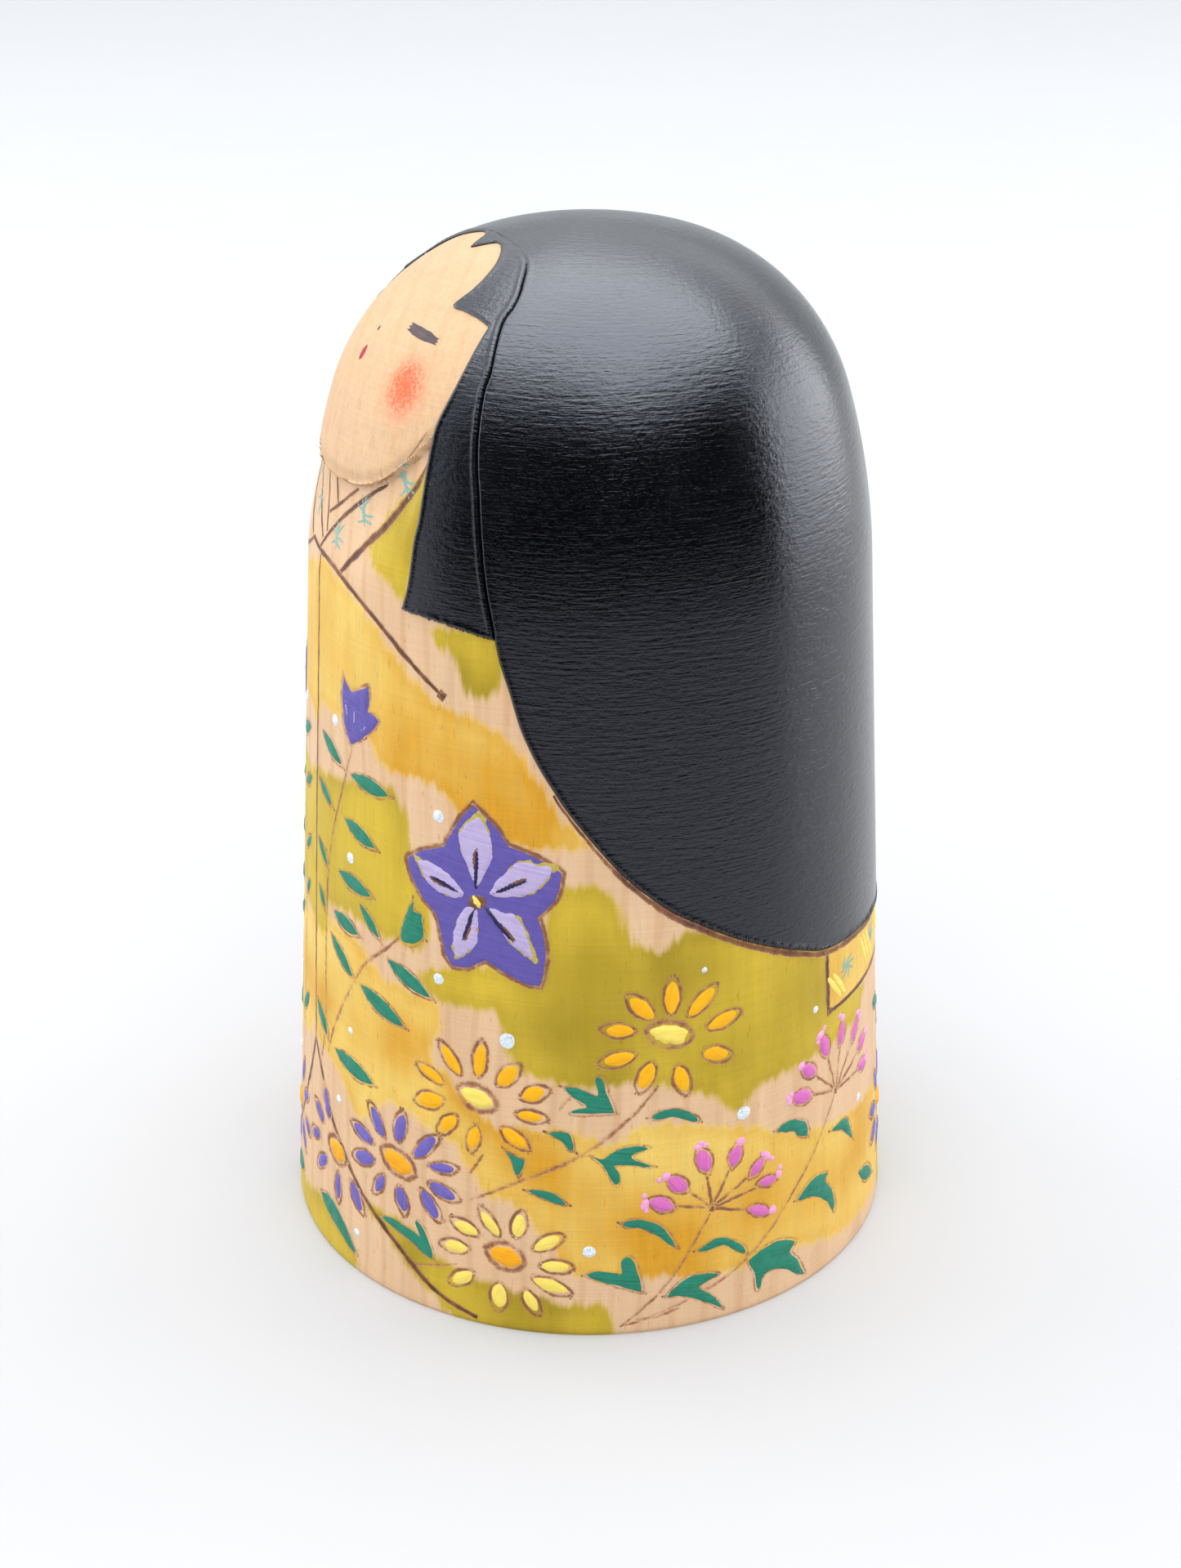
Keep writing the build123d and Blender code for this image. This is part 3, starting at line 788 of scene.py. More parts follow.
def wood_block():
    """The turned and carved block, one closed mesh."""
    front = np.arange(-FINE_FRONT, FINE_FRONT, FINE_ANGLE)
    columns = np.concatenate([front, np.arange(FINE_FRONT, 360 - FINE_FRONT, COARSE_ANGLE)])
    arcs = rows_of_arcs()
    count = len(columns)
    angle, arc = np.tile(columns, len(arcs)), np.repeat(arcs, count)
    edge = smooth(TOTAL_ARC - FOOT_ROUNDING, TOTAL_ARC, arc) * -FOOT_DEPTH
    verts = on_surface(angle, arc, edge)
    faces = [
        (row * count + k, (row + 1) * count + k, (row + 1) * count + (k + 1) % count,
         row * count + (k + 1) % count)
        for row in range(len(arcs) - 1) for k in range(count)
    ]
    crown, base = len(verts), len(verts) + 1
    last = (len(arcs) - 1) * count
    faces += [(crown, k, (k + 1) % count) for k in range(count)]
    faces += [(base, last + (k + 1) % count, last + k) for k in range(count)]
    verts = np.vstack([verts, on_surface(0, 0)[None], [[0, 0, 0]]])
    block = new_object("turned_block", verts, faces, MATERIALS["wood"])
    mark_sharp(block, 50)
    stain(block, np.append(angle, [0, 0]), np.append(profile(arc)[1], [TOP_HEIGHT, 0]))
    attribute(block, "burnt", np.zeros(len(verts)))
    return block


def stain(obj, angle, height):
    """Stores where each stain, the face and the blush lie, for the wood's material."""
    ochre = OCHRE_PATCHES + [other_side(p) for p in OCHRE_PATCHES] + BACK_OCHRE
    olive = OLIVE_PATCHES + [other_side(p) for p in OLIVE_PATCHES] + BACK_OLIVE
    behind = np.abs((angle + 360) % 360 - 180) < BOW_HALF_TURN
    in_bow = behind & (height > BOW_HEIGHTS[0]) & (height < BOW_HEIGHTS[1])
    attribute(obj, "ochre", np.where(in_bow, BOW_OCHRE, region_distance(angle, height, ochre)))
    attribute(obj, "olive", np.where(in_bow, BOW_OLIVE, region_distance(angle, height, olive)))
    attribute(obj, "deep", deepened(angle, height))
    attribute(obj, "blush", blush(angle, height))
    across = np.abs(radius_at(height) * np.sin(np.radians(angle)))
    attribute(obj, "face", smooth(-0.3, 0.3, height - chin_line(across)))


def deepened(angle, height):
    """Where the brush left more stain: from 0, through soft spots of a set size."""
    total = np.zeros(len(angle))
    for spots in (DEEP_SPOTS, [(SIDE_TURN - a, z, size) for a, z, size in DEEP_SPOTS]):
        for spot_angle, spot_height, size in spots:
            across = np.radians(turn_from(spot_angle, angle)) * float(radius_at(spot_height))
            total += np.exp(-(across ** 2 + (height - spot_height) ** 2) / size ** 2)
    return np.minimum(total, DEEPEST)


CHEEKS = ((22.6, 115.2), (-33.0, 115.2))
CHEEK_RADII = (3.3, 3.9)
BLUSH_STRENGTH = 1.3
BLUSH_FALLOFF = 1.25


def blush(angle, height):
    """Sprayed colour on each cheek, fading outwards."""
    total = np.zeros(len(angle))
    for cheek_angle, cheek_height in CHEEKS:
        across = np.radians(turn_from(cheek_angle, angle)) * radius_at(cheek_height) / CHEEK_RADII[0]
        up = (arc_at(cheek_height) - arc_at(height)) / CHEEK_RADII[1]
        total += BLUSH_STRENGTH * np.exp(-(across ** 2 + up ** 2) * BLUSH_FALLOFF)
    return total


# ---------------------------------------------------------------- hair
HAIR_THICKNESS = 0.24
HAIR_UNDER = -0.3
HAIR_LIFT = 0.03
HAIR_REACH = 108.0
BEAD_HEIGHT = 0.14
BEAD_PLACE = 0.42
BEAD_SPREAD = 0.19
BEAD_POINTS = (0.12, 1.3)
BEAD_SPACING = 0.24
GROOVE = [
    (30.5, 128.3), (40.9, 127.4), (44.9, 125.6), (45.2, 124), (44, 122.5), (44.4, 120.2), (44.8, 118),
    (44.3, 116), (44.5, 112.5), (45, 109), (46, 105.5), (47.2, 100.2), (48.4, 95.5), (50, 91),
    (50.3, 89.6),
]
BACK_EDGE = [
    (50.3, 89.6), (51.3, 87), (53.2, 83.6), (55.4, 79.3), (58.3, 75.5), (61.5, 72.2), (64.9, 69),
    (73.9, 62), (82.3, 57.2), (89.2, 54.4), (96.1, 51.8), (103.7, 49.4), (111, 47.4), (119.2, 45.5),
    (131, 44.6), (148, 43.6), (165, 43.2), (180, 43),
]
FACE_EDGE = [
    (30.1, 91.3), (31.5, 94.5), (32.3, 99.4), (33.1, 102.3), (33.6, 108.2), (33.9, 110.8), (34.4, 112.5),
    (36.2, 115.2), (37.6, 117.5), (39.3, 120.7), (40.2, 122.1),
]
LEFT_FRINGE = [
    (40.2, 122.1), (35.5, 122.7), (30, 123.1), (25.1, 123.4), (27.8, 125), (28.4, 126.2), (26.5, 127.3),
    (20, 128.1), (9, 128.4), (-0.4, 127.7),
]
RIGHT_FRINGE = [
    (-0.4, 127.7), (-10.5, 128.4), (-24, 128.35), (-36, 127.3), (-40.8, 125.8), (-40.6, 124.5),
    (-34.6, 123.2), (-37.5, 122.7), (-40.2, 122.1),
]


def to_chart(places):
    """Angle and height, as a flat point round the crown."""
    places = np.asarray(places, float)
    arc = arc_at(places[:, 1])
    turn = np.radians(places[:, 0])
    return np.stack([arc * np.sin(turn), -arc * np.cos(turn)], -1)


def from_chart(points):
    """A flat point round the crown, as angle and arc."""
    return np.degrees(np.arctan2(points[:, 0], -points[:, 1])), np.hypot(points[:, 0], points[:, 1])


def mirrored(places):
    """The same line on the other side, drawn the other way."""
    return [(-angle, height) for angle, height in reversed(places)]


def chart_line(places, spacing):
    """Places joined by a smooth line, evenly spaced on the real surface, as chart points."""
    flat = to_chart(open_curve(places, 10))
    angle, arc = from_chart(flat)
    real = on_surface(angle, arc, carved=False) / MM
    run = np.concatenate([[0], np.cumsum(np.linalg.norm(np.diff(real, axis=0), axis=1))])
    at = np.linspace(0, run[-1], max(int(run[-1] / spacing), 2))
    return np.stack([np.interp(at, run, flat[:, k]) for k in (0, 1)], -1)[:-1]


def ring_points(spacing):
    """Points spread evenly over the turned surface, as chart points."""
    rows = []
    for step, arc in enumerate(np.arange(spacing * 0.6, HAIR_REACH, spacing * 0.87)):
        count = max(int(2 * math.pi * float(profile(arc)[0]) / spacing), 5)
        turn = (np.arange(count) + 0.5 * (step % 2)) * 2 * math.pi / count
        rows.append(np.stack([arc * np.sin(turn), -arc * np.cos(turn)], -1))
    return np.concatenate(rows)


def hair_coat(name, outline, bead, spacing):
    """One coat of lacquer inside a chart outline, thickened into a bead along its carved edge."""
    edge = on_surface(*from_chart(outline), carved=False)
    tree = kdtree.KDTree(len(edge))
    for index, point in enumerate(edge):
        tree.insert(Vector(point), index)
    tree.balance()

    def depth_of(points):
        real = on_surface(*from_chart(points), carved=False)
        found = [tree.find(Vector(p)) for p in real]
        return np.array([f[2] for f in found]) / MM, np.array([f[1] for f in found])

    coarse, fine = ring_points(spacing), ring_points(BEAD_SPACING)
    coarse = coarse[contains(coarse, outline)]
    fine = fine[contains(fine, outline)]
    fine_depth, coarse_depth = depth_of(fine)[0], depth_of(coarse)[0]
    near, far = BEAD_POINTS
    inner = np.vstack([fine[(fine_depth > near) & (fine_depth < far)], coarse[coarse_depth >= far]])
    flat, faces = triangles(outline, inner)
    depth, nearest = depth_of(flat)
    beaded = bead[np.minimum(nearest, len(bead) - 1)]
    rise = smooth(0, 0.25, depth)
    crest = np.exp(-((depth - BEAD_PLACE) / BEAD_SPREAD) ** 2)
    lift = HAIR_THICKNESS * (np.abs(beaded) * rise + 1 - np.abs(beaded)) + HAIR_LIFT
    lift = lift + BEAD_HEIGHT * np.maximum(beaded, 0) * crest
    angle, arc = from_chart(flat)
    top = on_surface(angle, arc, lift, carved=False)
    bottom = on_surface(angle, arc, HAIR_UNDER, carved=False)
    verts, solid = close_solid(top, bottom, [list(f) for f in faces])
    coat = new_object(name, verts, solid, MATERIALS["lacquer"])
    mark_sharp(coat, 60)
    attribute(coat, "arc", np.tile(arc, 2))
    return coat


EDGE_STEP = 0.2
EDGE_FADE = 40
CROWN_PARTING = [(30.5, 128.3), (20, 128.75), (8, 128.95), (-8, 128.95), (-20, 128.75), (-30.5, 128.3)]
LOCK_FOOT = [(50.3, 89.6), (45, 90.2), (38, 90.9), (30.1, 91.3)]


def fading_in(line):
    """A bead's strength that grows along the first points of a line."""
    return smooth(0, EDGE_FADE, np.arange(len(line), dtype=float))


def joined(lines):
    """One outline, and its bead's strengths, from lines each with a strength or strengths."""
    outline = np.vstack([line for line, _ in lines])
    bead = np.concatenate([np.broadcast_to(strength, len(line)) for line, strength in lines])
    if signed_area(outline) < 0:
        return outline[::-1], bead[::-1]
    return outline, bead


def signed_area(outline):
    """Twice the area inside an outline, positive when it runs anticlockwise."""
    nxt = np.roll(outline, -1, axis=0)
    return float(np.sum(outline[:, 0] * nxt[:, 1] - nxt[:, 0] * outline[:, 1]))


def edge_and_mirror(places):
    """A line of the hair's edge and its mirror image, as chart points."""
    return chart_line(places, EDGE_STEP), chart_line(mirrored(places), EDGE_STEP)


def back_hair():
    """The long coat behind the grooves, down to its curved lower edge."""
    down, up_right = edge_and_mirror(GROOVE)
    back, back_right = edge_and_mirror(BACK_EDGE)
    over = chart_line(mirrored(CROWN_PARTING), EDGE_STEP)
    lines = [(over, 0.0), (down, fading_in(down)), (back, 1.0), (back_right, 1.0),
             (up_right, fading_in(up_right)[::-1])]
    return hair_coat("back_hair", *joined(lines), 0.95)


def front_hair():
    """The coat round the face: two side locks and the fringe between them."""
    down, up_right = edge_and_mirror(GROOVE)
    foot, foot_right = edge_and_mirror(LOCK_FOOT)
    cheek, cheek_right = edge_and_mirror(FACE_EDGE)
    lines = [
        (chart_line(mirrored(CROWN_PARTING), EDGE_STEP), 0.0),
        (down, fading_in(down)),
        (ragged_foot(foot, 3), 1.0),
        (cheek, 0.8),
        (chart_line(LEFT_FRINGE, EDGE_STEP), 0.4),
        (chart_line(RIGHT_FRINGE, EDGE_STEP), 0.4),
        (cheek_right, 0.8),
        (ragged_foot(foot_right, 5), 1.0),
        (up_right, fading_in(up_right)[::-1]),
    ]
    return hair_coat("front_hair", *joined(lines), 0.7)


def ragged_foot(line, seed):
    """Uneven brush marks along the foot of a side lock."""
    away = line / np.hypot(*line.T)[:, None]
    jag = np.array([abs(noise.noise(Vector((k * 0.55, seed, 0.2)))) for k in range(len(line))])
    from_start = np.arange(len(line), dtype=float)
    ends = smooth(0, 6, from_start) * smooth(0, 6, len(line) - from_start)
    return line + away * (jag * ends * 0.55)[:, None]


# ---------------------------------------------------------------- flowers and leaves
def oval(length, width, point=0.8, steps=18):
    """A petal or leaf outline along X, centred, pointed at both ends when point is over 1."""
    t = np.linspace(0, 1, steps)
    half = width / 2 * np.sin(np.pi * t) ** point
    x = length * (t - 0.5)
    return np.vstack([np.stack([x, -half], -1), np.stack([x[::-1], half[::-1]], -1)[1:-1]])


def turned(points, degrees, shift=(0, 0), flip=1):
    """Points turned, moved and, on the doll's right, flipped."""
    turn = math.radians(degrees)
    points = np.asarray(points, float)
    x = points[:, 0] * math.cos(turn) - points[:, 1] * math.sin(turn) + shift[0]
    y = points[:, 0] * math.sin(turn) + points[:, 1] * math.cos(turn) + shift[1]
    return np.stack([flip * x, y], -1)


def direction_of(way):
    """Direction of a flat vector, in degrees."""
    return math.degrees(math.atan2(way[1], way[0]))


def both_sides(angle, height):
    """A place on the doll's left and its partner on the right, with the flip of each."""
    return [((angle, height), 1), ((SIDE_TURN - angle, max(height - SIDE_DROP, 3.0)), -1)]


def flower(coat, centre_coat, centre, petals, centre_size, flip=1, seed=0):
    """A daisy. Each petal has a direction, a distance to its middle, a length, a width and a lean."""
    for index, (direction, middle, length, width, lean) in enumerate(petals):
        turn = math.radians(direction)
        shift = (middle * math.cos(turn), middle * math.sin(turn))
        shape = turned(oval(length * 1.06, width * 1.1, 0.52), direction + lean, shift, flip)
        dab(coat, shape, centre, seed=seed * 20 + index, direction=turn * flip)
        outward = (shift[0] + 0.25 * math.cos(turn), shift[1] + 0.25 * math.sin(turn))
        around = turned(oval(length + 1.3, width + 0.62, 0.66), direction + lean * 0.7, outward, flip)
        local_line(around, centre, 0.2, closed=True, seed=seed * 20 + index, strength=0.85)
        for end in (1, -1):
            reach = middle + end * (length / 2 + 0.55)
            touch = np.array([(reach * math.cos(turn), reach * math.sin(turn)),
                              ((reach + 0.5) * math.cos(turn), (reach + 0.5) * math.sin(turn))]) * (flip, 1)
            local_line(touch, centre, 0.26, seed=seed * 20 + index, strength=1.0 if end > 0 else 0.7)
    width, tall = centre_size
    disc = ragged_disc(width, tall, -16, flip, seed)
    dab(centre_coat, disc, centre, thickness=0.24, spacing=0.33, seed=seed + 77)
    local_line(turned(oval(width + 1.2, tall + 1.1, 0.6, 14), -16, flip=flip), centre, 0.34, True, seed + 5,
               strength=0.8)


def ragged_disc(width, tall, tilt, flip, seed):
    """The outline of a stippled centre."""
    outline = resample(oval(width, tall, 0.5, 16), 0.3, True)
    jag = [1 + 0.22 * noise.noise(Vector((x * 2.3, y * 2.3, seed * 1.9))) for x, y in outline]
    return turned(outline * np.array(jag)[:, None], tilt, flip=flip)


# Petals: direction, distance to the middle, length, width and lean from the direction.
DAISY_ONE = [
    (13, 7.3, 2.7, 1.7, 14), (43, 5.3, 3.2, 1.7, 9), (86, 5.1, 4.1, 1.4, -3), (129, 5.6, 4, 1.3, -3),
    (165, 6.4, 3.3, 1.2, -8), (197, 6.7, 3.5, 1.9, 1), (229, 5.8, 2.9, 1.5, 3), (266, 5.5, 3, 1.3, -8),
    (316, 6.6, 3.3, 1.5, 8), (348, 6.8, 2.9, 1.2, 9),
]
DAISY_TWO = [
    (5, 6.8, 3.8, 1.5, 13), (42, 5.4, 4.2, 1.5, 2), (87, 4.8, 4, 1.6, 1), (132, 5.1, 3.7, 1.6, 3),
    (170, 6.2, 3.1, 1.5, 6), (203, 6.7, 3.5, 1.5, -14), (241, 5.9, 3.3, 1.6, 8), (283, 6.3, 3.4, 1.5, 4),
    (328, 6.9, 3.1, 1.6, 19),
]
ASTER_ONE = [
    (13, 6.9, 3.4, 1.2, -4), (41, 5.6, 4.6, 1.4, 10), (86, 5, 3.9, 1.6, -10), (130, 5.7, 3.9, 1.5, -9),
    (167, 6.6, 3.8, 1.6, -1), (197, 6.4, 3.7, 1.8, 1), (234, 5.3, 2.9, 1.2, 8), (278, 5, 3.2, 1.6, 9),
    (320, 6.5, 3.8, 1.6, -16), (346, 7, 3.6, 1.6, 0),
]
ASTER_TWO = [
    (119, 6.2, 3.9, 1.3, -6), (152, 6.2, 3, 1.4, 0), (189, 6.8, 2.8, 1.3, 8), (222, 5.8, 3.6, 1.4, 1),
    (274, 5.1, 3.7, 1.2, -2), (316, 6.4, 3.8, 1.6, -13),
]
CREAM_ONE = [
    (26, 5.8, 3.4, 1.5, 7), (70, 4.9, 3.1, 1.5, 12), (115, 4.7, 3.5, 1.2, 14), (151, 6, 3.1, 1.4, 15),
    (181, 6.6, 3.1, 1.5, 4), (217, 7.1, 3.1, 1.5, -1), (262, 5.8, 3.2, 1.8, 10), (299, 6.7, 2.9, 1.3, -1),
    (329, 6.6, 4.3, 1.5, 14), (354, 6.3, 3.2, 1.4, 7),
]


def daisies():
    """Each daisy and its partner on the other side."""
    flowers = [
        ("yellow_petal", "cream_centre", (47.2, 31.8), DAISY_ONE, (4.4, 2.3)),
        ("yellow_petal", "cream_centre", (82.8, 41.0), DAISY_TWO, (4.9, 2.4)),
        ("aster_petal", "gold_centre", (30.2, 19.4), ASTER_ONE, (4.9, 2.7)),
        ("aster_petal", "gold_centre", (12.0, 15.5), ASTER_TWO, (3.8, 2.6)),
        ("aster_petal", "gold_centre", (152.0, 13.0), ASTER_ONE, (4.6, 2.8)),
        ("cream_petal", "gold_centre", (52.8, 10.5), CREAM_ONE, (4.2, 2.6)),
    ]
    for number, (coat, centre_coat, place, petals, size) in enumerate(flowers):
        for centre, flip in both_sides(*place):
            flower(coat, centre_coat, centre, petals, size, flip=flip, seed=number * 2 + (flip < 0))


# The bellflower's outline and inner petals, in millimetres from its centre.
BELL_OUTLINE = [
    (-0.6, 12.3), (1, 11), (2.8, 9.3), (3.8, 7.7), (6.6, 6.8), (8.9, 5.8), (10.3, 4.8), (10.2, 3.2),
    (9.6, 1.2), (7.5, -1.2), (8.1, -3.2), (8.5, -6), (7.9, -10.1), (6.2, -10), (4.2, -9.2), (1.1, -7.5),
    (-1.2, -9), (-3.4, -9.2), (-4.4, -7.5), (-5.5, -2.9), (-7.4, -1.4), (-8.8, 0.4), (-9.6, 1.9),
    (-9.9, 3.5), (-8, 4.9), (-4.6, 6.2), (-3.4, 8.6), (-2, 10.7),
]
BELL_LIGHT = [
    [(0, 9.7), (1.5, 7.7), (1.9, 5.6), (1.4, 3.7), (0.4, 1.8), (-0.3, 1.5), (-1.5, 3.8), (-2.4, 6.1),
        (-2, 7.9)],
    [(8.5, 4.4), (7.3, 4.9), (4.5, 5.1), (2.3, 2.9), (1.4, 1.4), (1.4, 0.5), (3.8, 0.6), (5.9, 1.1),
        (7.3, 2.4)],
    [(6.5, -6.7), (6.4, -5.4), (5.7, -3), (4.5, -1.1), (2.6, -0.8), (1.2, -0.5), (1.8, -2.2), (3.3, -4.3),
        (5, -5.8)],
    [(-2.3, -7.6), (-3, -5.9), (-2.8, -3.8), (-1.9, -1.6), (-0.7, -0.7), (0.2, -1.2), (0.3, -3.5),
        (-0.1, -5.6)],
    [(-7.6, 3.3), (-5.4, 3.2), (-3.3, 2.4), (-1.7, 1), (-1.2, 0.3), (-2, -0.4), (-4.3, -0.4), (-6, 0.5),
        (-7.1, 1.8)],
]
BELL_SLITS = [
    ((0, 7), (-0.2, 1.7)), ((6.1, 3.6), (2.1, 1.5)), ((4.6, -4.5), (1.1, -0.6)),
    ((-1.8, -5.2), (-0.3, -0.9)), ((-6.3, 2.2), (-2, 0.7)),
]


def bellflower(centre, flip, seed):
    """The big violet bellflower, with pale inner petals, dark slits and a yellow eye."""
    outline = turned(BELL_OUTLINE, 0, flip=flip) * 0.975
    dab("bellflower", closed_corner_curve(outline), centre, thickness=0.14, spacing=0.5, seed=seed)
    local_line(closed_corner_curve(outline * 1.03), centre, 0.26, closed=True, seed=seed, strength=0.95)
    for index, petal in enumerate(BELL_LIGHT):
        shape = closed_curve(turned(petal, 0, (0, 0.3), flip) * 1.1, 4)
        dab("bellflower_rim", wobble(resample(shape * 1.045, 0.35, True), 0.3, index), centre,
            thickness=0.2, seed=seed + index)
        dab("bellflower_light", wobble(resample(shape, 0.35, True), 0.16, index + 9), centre,
            thickness=0.27, seed=seed + index)
    for index, (tip, foot) in enumerate(BELL_SLITS):
        tip, foot = np.array(tip) * (flip, 1), np.array(foot) * (flip, 1)
        middle, way = (tip + foot) / 2, tip - foot
        direction = direction_of(way)
        beside = np.array([-way[1], way[0]]) / np.hypot(*way) * 0.24 * flip
        spot = turned(oval(np.hypot(*way) * 0.9, 1.3, 0.6), direction, middle + way * 0.2 + beside)
        dab("bellflower_spot", spot, centre, thickness=0.3, spacing=0.3, seed=seed + index)
        slit = turned(oval(np.hypot(*way) * 1.25, 1.0, 0.55), direction, middle)
        dab("bellflower_slit", slit, centre, thickness=0.38, spacing=0.3, seed=seed + index)
    dab("bellflower_spot", turned(oval(2.9, 2.2, 0.5, 12), 20, flip=flip), centre, thickness=0.3, seed=seed)
    dab("cream_centre", turned(oval(2.1, 1.4, 0.5, 12), -60, flip=flip), centre, thickness=0.42, seed=seed)


def closed_corner_curve(points):
    """A closed line that keeps its corners nearly sharp."""
    return resample(np.asarray(points), 0.4, True)


VIOLET_BUD = [
    (-3.4, 4.1), (-2.8, 3.2), (-1.6, 2.4), (0.1, 3.2), (1.8, 4.2), (2, 2.5), (1.7, 0.9), (3.1, 0.9),
    (3.8, 0.4), (2.8, -1), (0.6, -2.8), (-1.5, -4.2), (-2.4, -3.4), (-3.3, -1.7), (-3.8, 1.1),
]
GREEN_BUD = [
    (0.1, 2.8), (0.2, 1.6), (1.3, 1.5), (1.4, 0.6), (1.7, -1.4), (0, -2.8), (-1.7, -2.7), (-1.4, -0.5),
    (-0.8, 1.2),
]

# Plain leaves: angle, height, length, width and tilt.
PLAIN_LEAVES = [
    (7.8, 70.1, 6, 1.7, -24), (21.4, 68.2, 7, 1.9, -4), (5, 63.7, 4.6, 1.3, -26),
    (18.6, 61.4, 6.4, 1.9, -16), (4.1, 55.4, 4, 1.2, -40), (16.9, 54.4, 7, 1.9, -6),
    (3.9, 49.3, 3.2, 1.1, -50), (14.2, 48.4, 5.8, 1.9, -8), (21.9, 50.6, 5, 1.3, -42),
    (12.8, 43.6, 6.6, 1.7, -34), (32.3, 45.2, 7.4, 1.9, -24), (25.4, 40, 8.2, 2.2, -20),
    (4.7, 32.5, 5.2, 1.7, -46), (17.2, 29.3, 8.6, 2.3, -8),
]
# Shaped leaves: place and outline, in millimetres from the place.
SHAPED_LEAVES = [
    ((68, 33.5), [(-2.9, 1), (-1.2, 1), (1, -0.1), (0.7, 2.2), (1.5, 2.3), (2.1, 0.3), (2.9, -2.1),
        (2.4, -2.3), (-1.9, -2.3), (-1.9, -1.9), (-0.2, -1.4), (-1.6, -0.4)]),
    ((73.9, 23.9), [(-3.6, 1.4), (-2.5, 1), (-1.3, 1.7), (0.4, 2.5), (2.3, 2.5), (3.2, 2.1), (1.9, 1.7),
        (1.1, 1.2), (1.9, 0.6), (3.6, -0.4), (2.8, -0.4), (0.9, 0.1), (-0.9, 0.1), (-0.4, -0.9),
        (-0.3, -2.2), (-0.9, -2.5), (-1.8, -0.8), (-2.5, 0.4)]),
    ((83.6, 29.9), [(-2.9, 0.2), (-2, 0.9), (-0.5, 1.1), (1.3, 0.6), (2.6, -0.3), (2.9, -1.1), (2, -1),
        (0, 0), (-1.7, -0.1)]),
    ((78.8, 14.1), [(-3.3, 1.7), (-2.2, 2.2), (-0.5, 2), (1.3, 1.1), (2.5, -0.4), (3.3, -2.2), (2.8, -2.1),
        (1.3, -0.6), (-1, 1), (-2.4, 1.1)]),
    ((92.8, 10.1), [(-3.3, 0.5), (-2.1, 1.2), (-0.5, 1.7), (1.2, 1), (2.9, -0.5), (3.3, -1.7), (1.7, -0.7),
        (0.1, 0.5), (-1.9, 0.3)]),
    ((72.5, 8.7), [(-3.4, 0), (-2.3, 0.6), (-0.6, 0.4), (0.9, 0.1), (0.8, 1.8), (1.6, 2.5), (2.4, 1.7),
        (2.9, 0), (3.4, -2.5), (2.4, -2.4), (0.4, -1.5), (-1.5, -0.9)]),
    ((87.3, 4.4), [(-3.6, 0.5), (-2.4, 1.8), (-0.5, 2.8), (1.6, 2.7), (3.3, 2.2), (1.9, 1.7), (0.5, 1),
        (2.1, -0.4), (3.5, -2.2), (3.6, -2.8), (1.9, -1.6), (-0.5, -0.3), (-2.1, 0.3)]),
    ((104.9, 4.9), [(-4.5, 2.2), (-2.5, 3.1), (0.1, 3.4), (3, 2.1), (2.1, 0.9), (3.4, -0.8), (4.5, -3.4),
        (3.2, -2.8), (1.3, -1.2), (-0.9, -0.4), (-2.3, -0.7), (-2.8, -2.3), (-3.4, -2.1), (-3.7, 0.1)]),
    ((115.7, 11.2), [(-3.8, 1.5), (-2.3, 2.7), (-0.3, 3.4), (2.3, 2.7), (1.6, 1.9), (3.1, -0.1),
        (3.8, -2.5), (3.3, -3.4), (2.2, -1.6), (0, 0.3), (-1.9, 1.1)]),
    ((109, 23), [(-2.7, 1), (-1.5, 1.7), (0.2, 1.6), (2.3, 0.4), (2.7, -0.9), (2.5, -1.7), (0.9, -1),
        (0.2, 0), (-1.2, 0.4)]),
    ((124.6, 17.7), [(-2.8, 1.8), (-1.1, 2.1), (0.8, 2), (1.9, 0.5), (2.8, -2.1), (1.3, -0.7),
        (-0.8, 1.1)]),
    ((60.4, 19.5), [(-2.3, 0.6), (-1.1, 0.9), (0.6, 0.7), (1.5, 0.1), (2.3, -0.8), (1.5, -0.9),
        (-0.2, -0.3), (-1.5, 0.2)]),
    ((62.9, 27.4), [(-1.5, 0.9), (-0.4, 1.2), (1, 1), (1.4, 0), (1.5, -1.2), (0.9, -1.2), (0.1, -0.1),
        (-0.9, 0.5)]),
    ((54.5, 23.7), [(-1.2, 1.6), (-0.4, 1.2), (1.2, 0.6), (0.9, -0.6), (0.4, -1.6), (-0.1, -1),
        (-0.5, 0.3)]),
    ((32.3, 9.9), [(-4.1, 0.6), (-2.5, 1.1), (-0.2, 0.8), (1.7, 0.4), (2.2, 0.2), (1.4, 2.2), (2.3, 2),
        (3.5, 0.1), (4.1, -2.2), (3.2, -2.2), (1.1, -1), (-1.5, -0.3)]),
    ((12.1, 5.1), [(-4.6, 1.6), (-2, 2.5), (0.5, 1.5), (2.8, -0.3), (4.6, -2.3), (3.7, -2.5), (0.3, -1),
        (-2.9, 0.2)]),
    ((33.2, 52.8), GREEN_BUD),
]
BACK_LEAVES = [
    (136, 7.5, 7, 2, -30), (164, 6, 7, 2, 24), (148, 29, 6.6, 1.9, -20), (157, 24.5, 5.8, 1.8, 30),
]


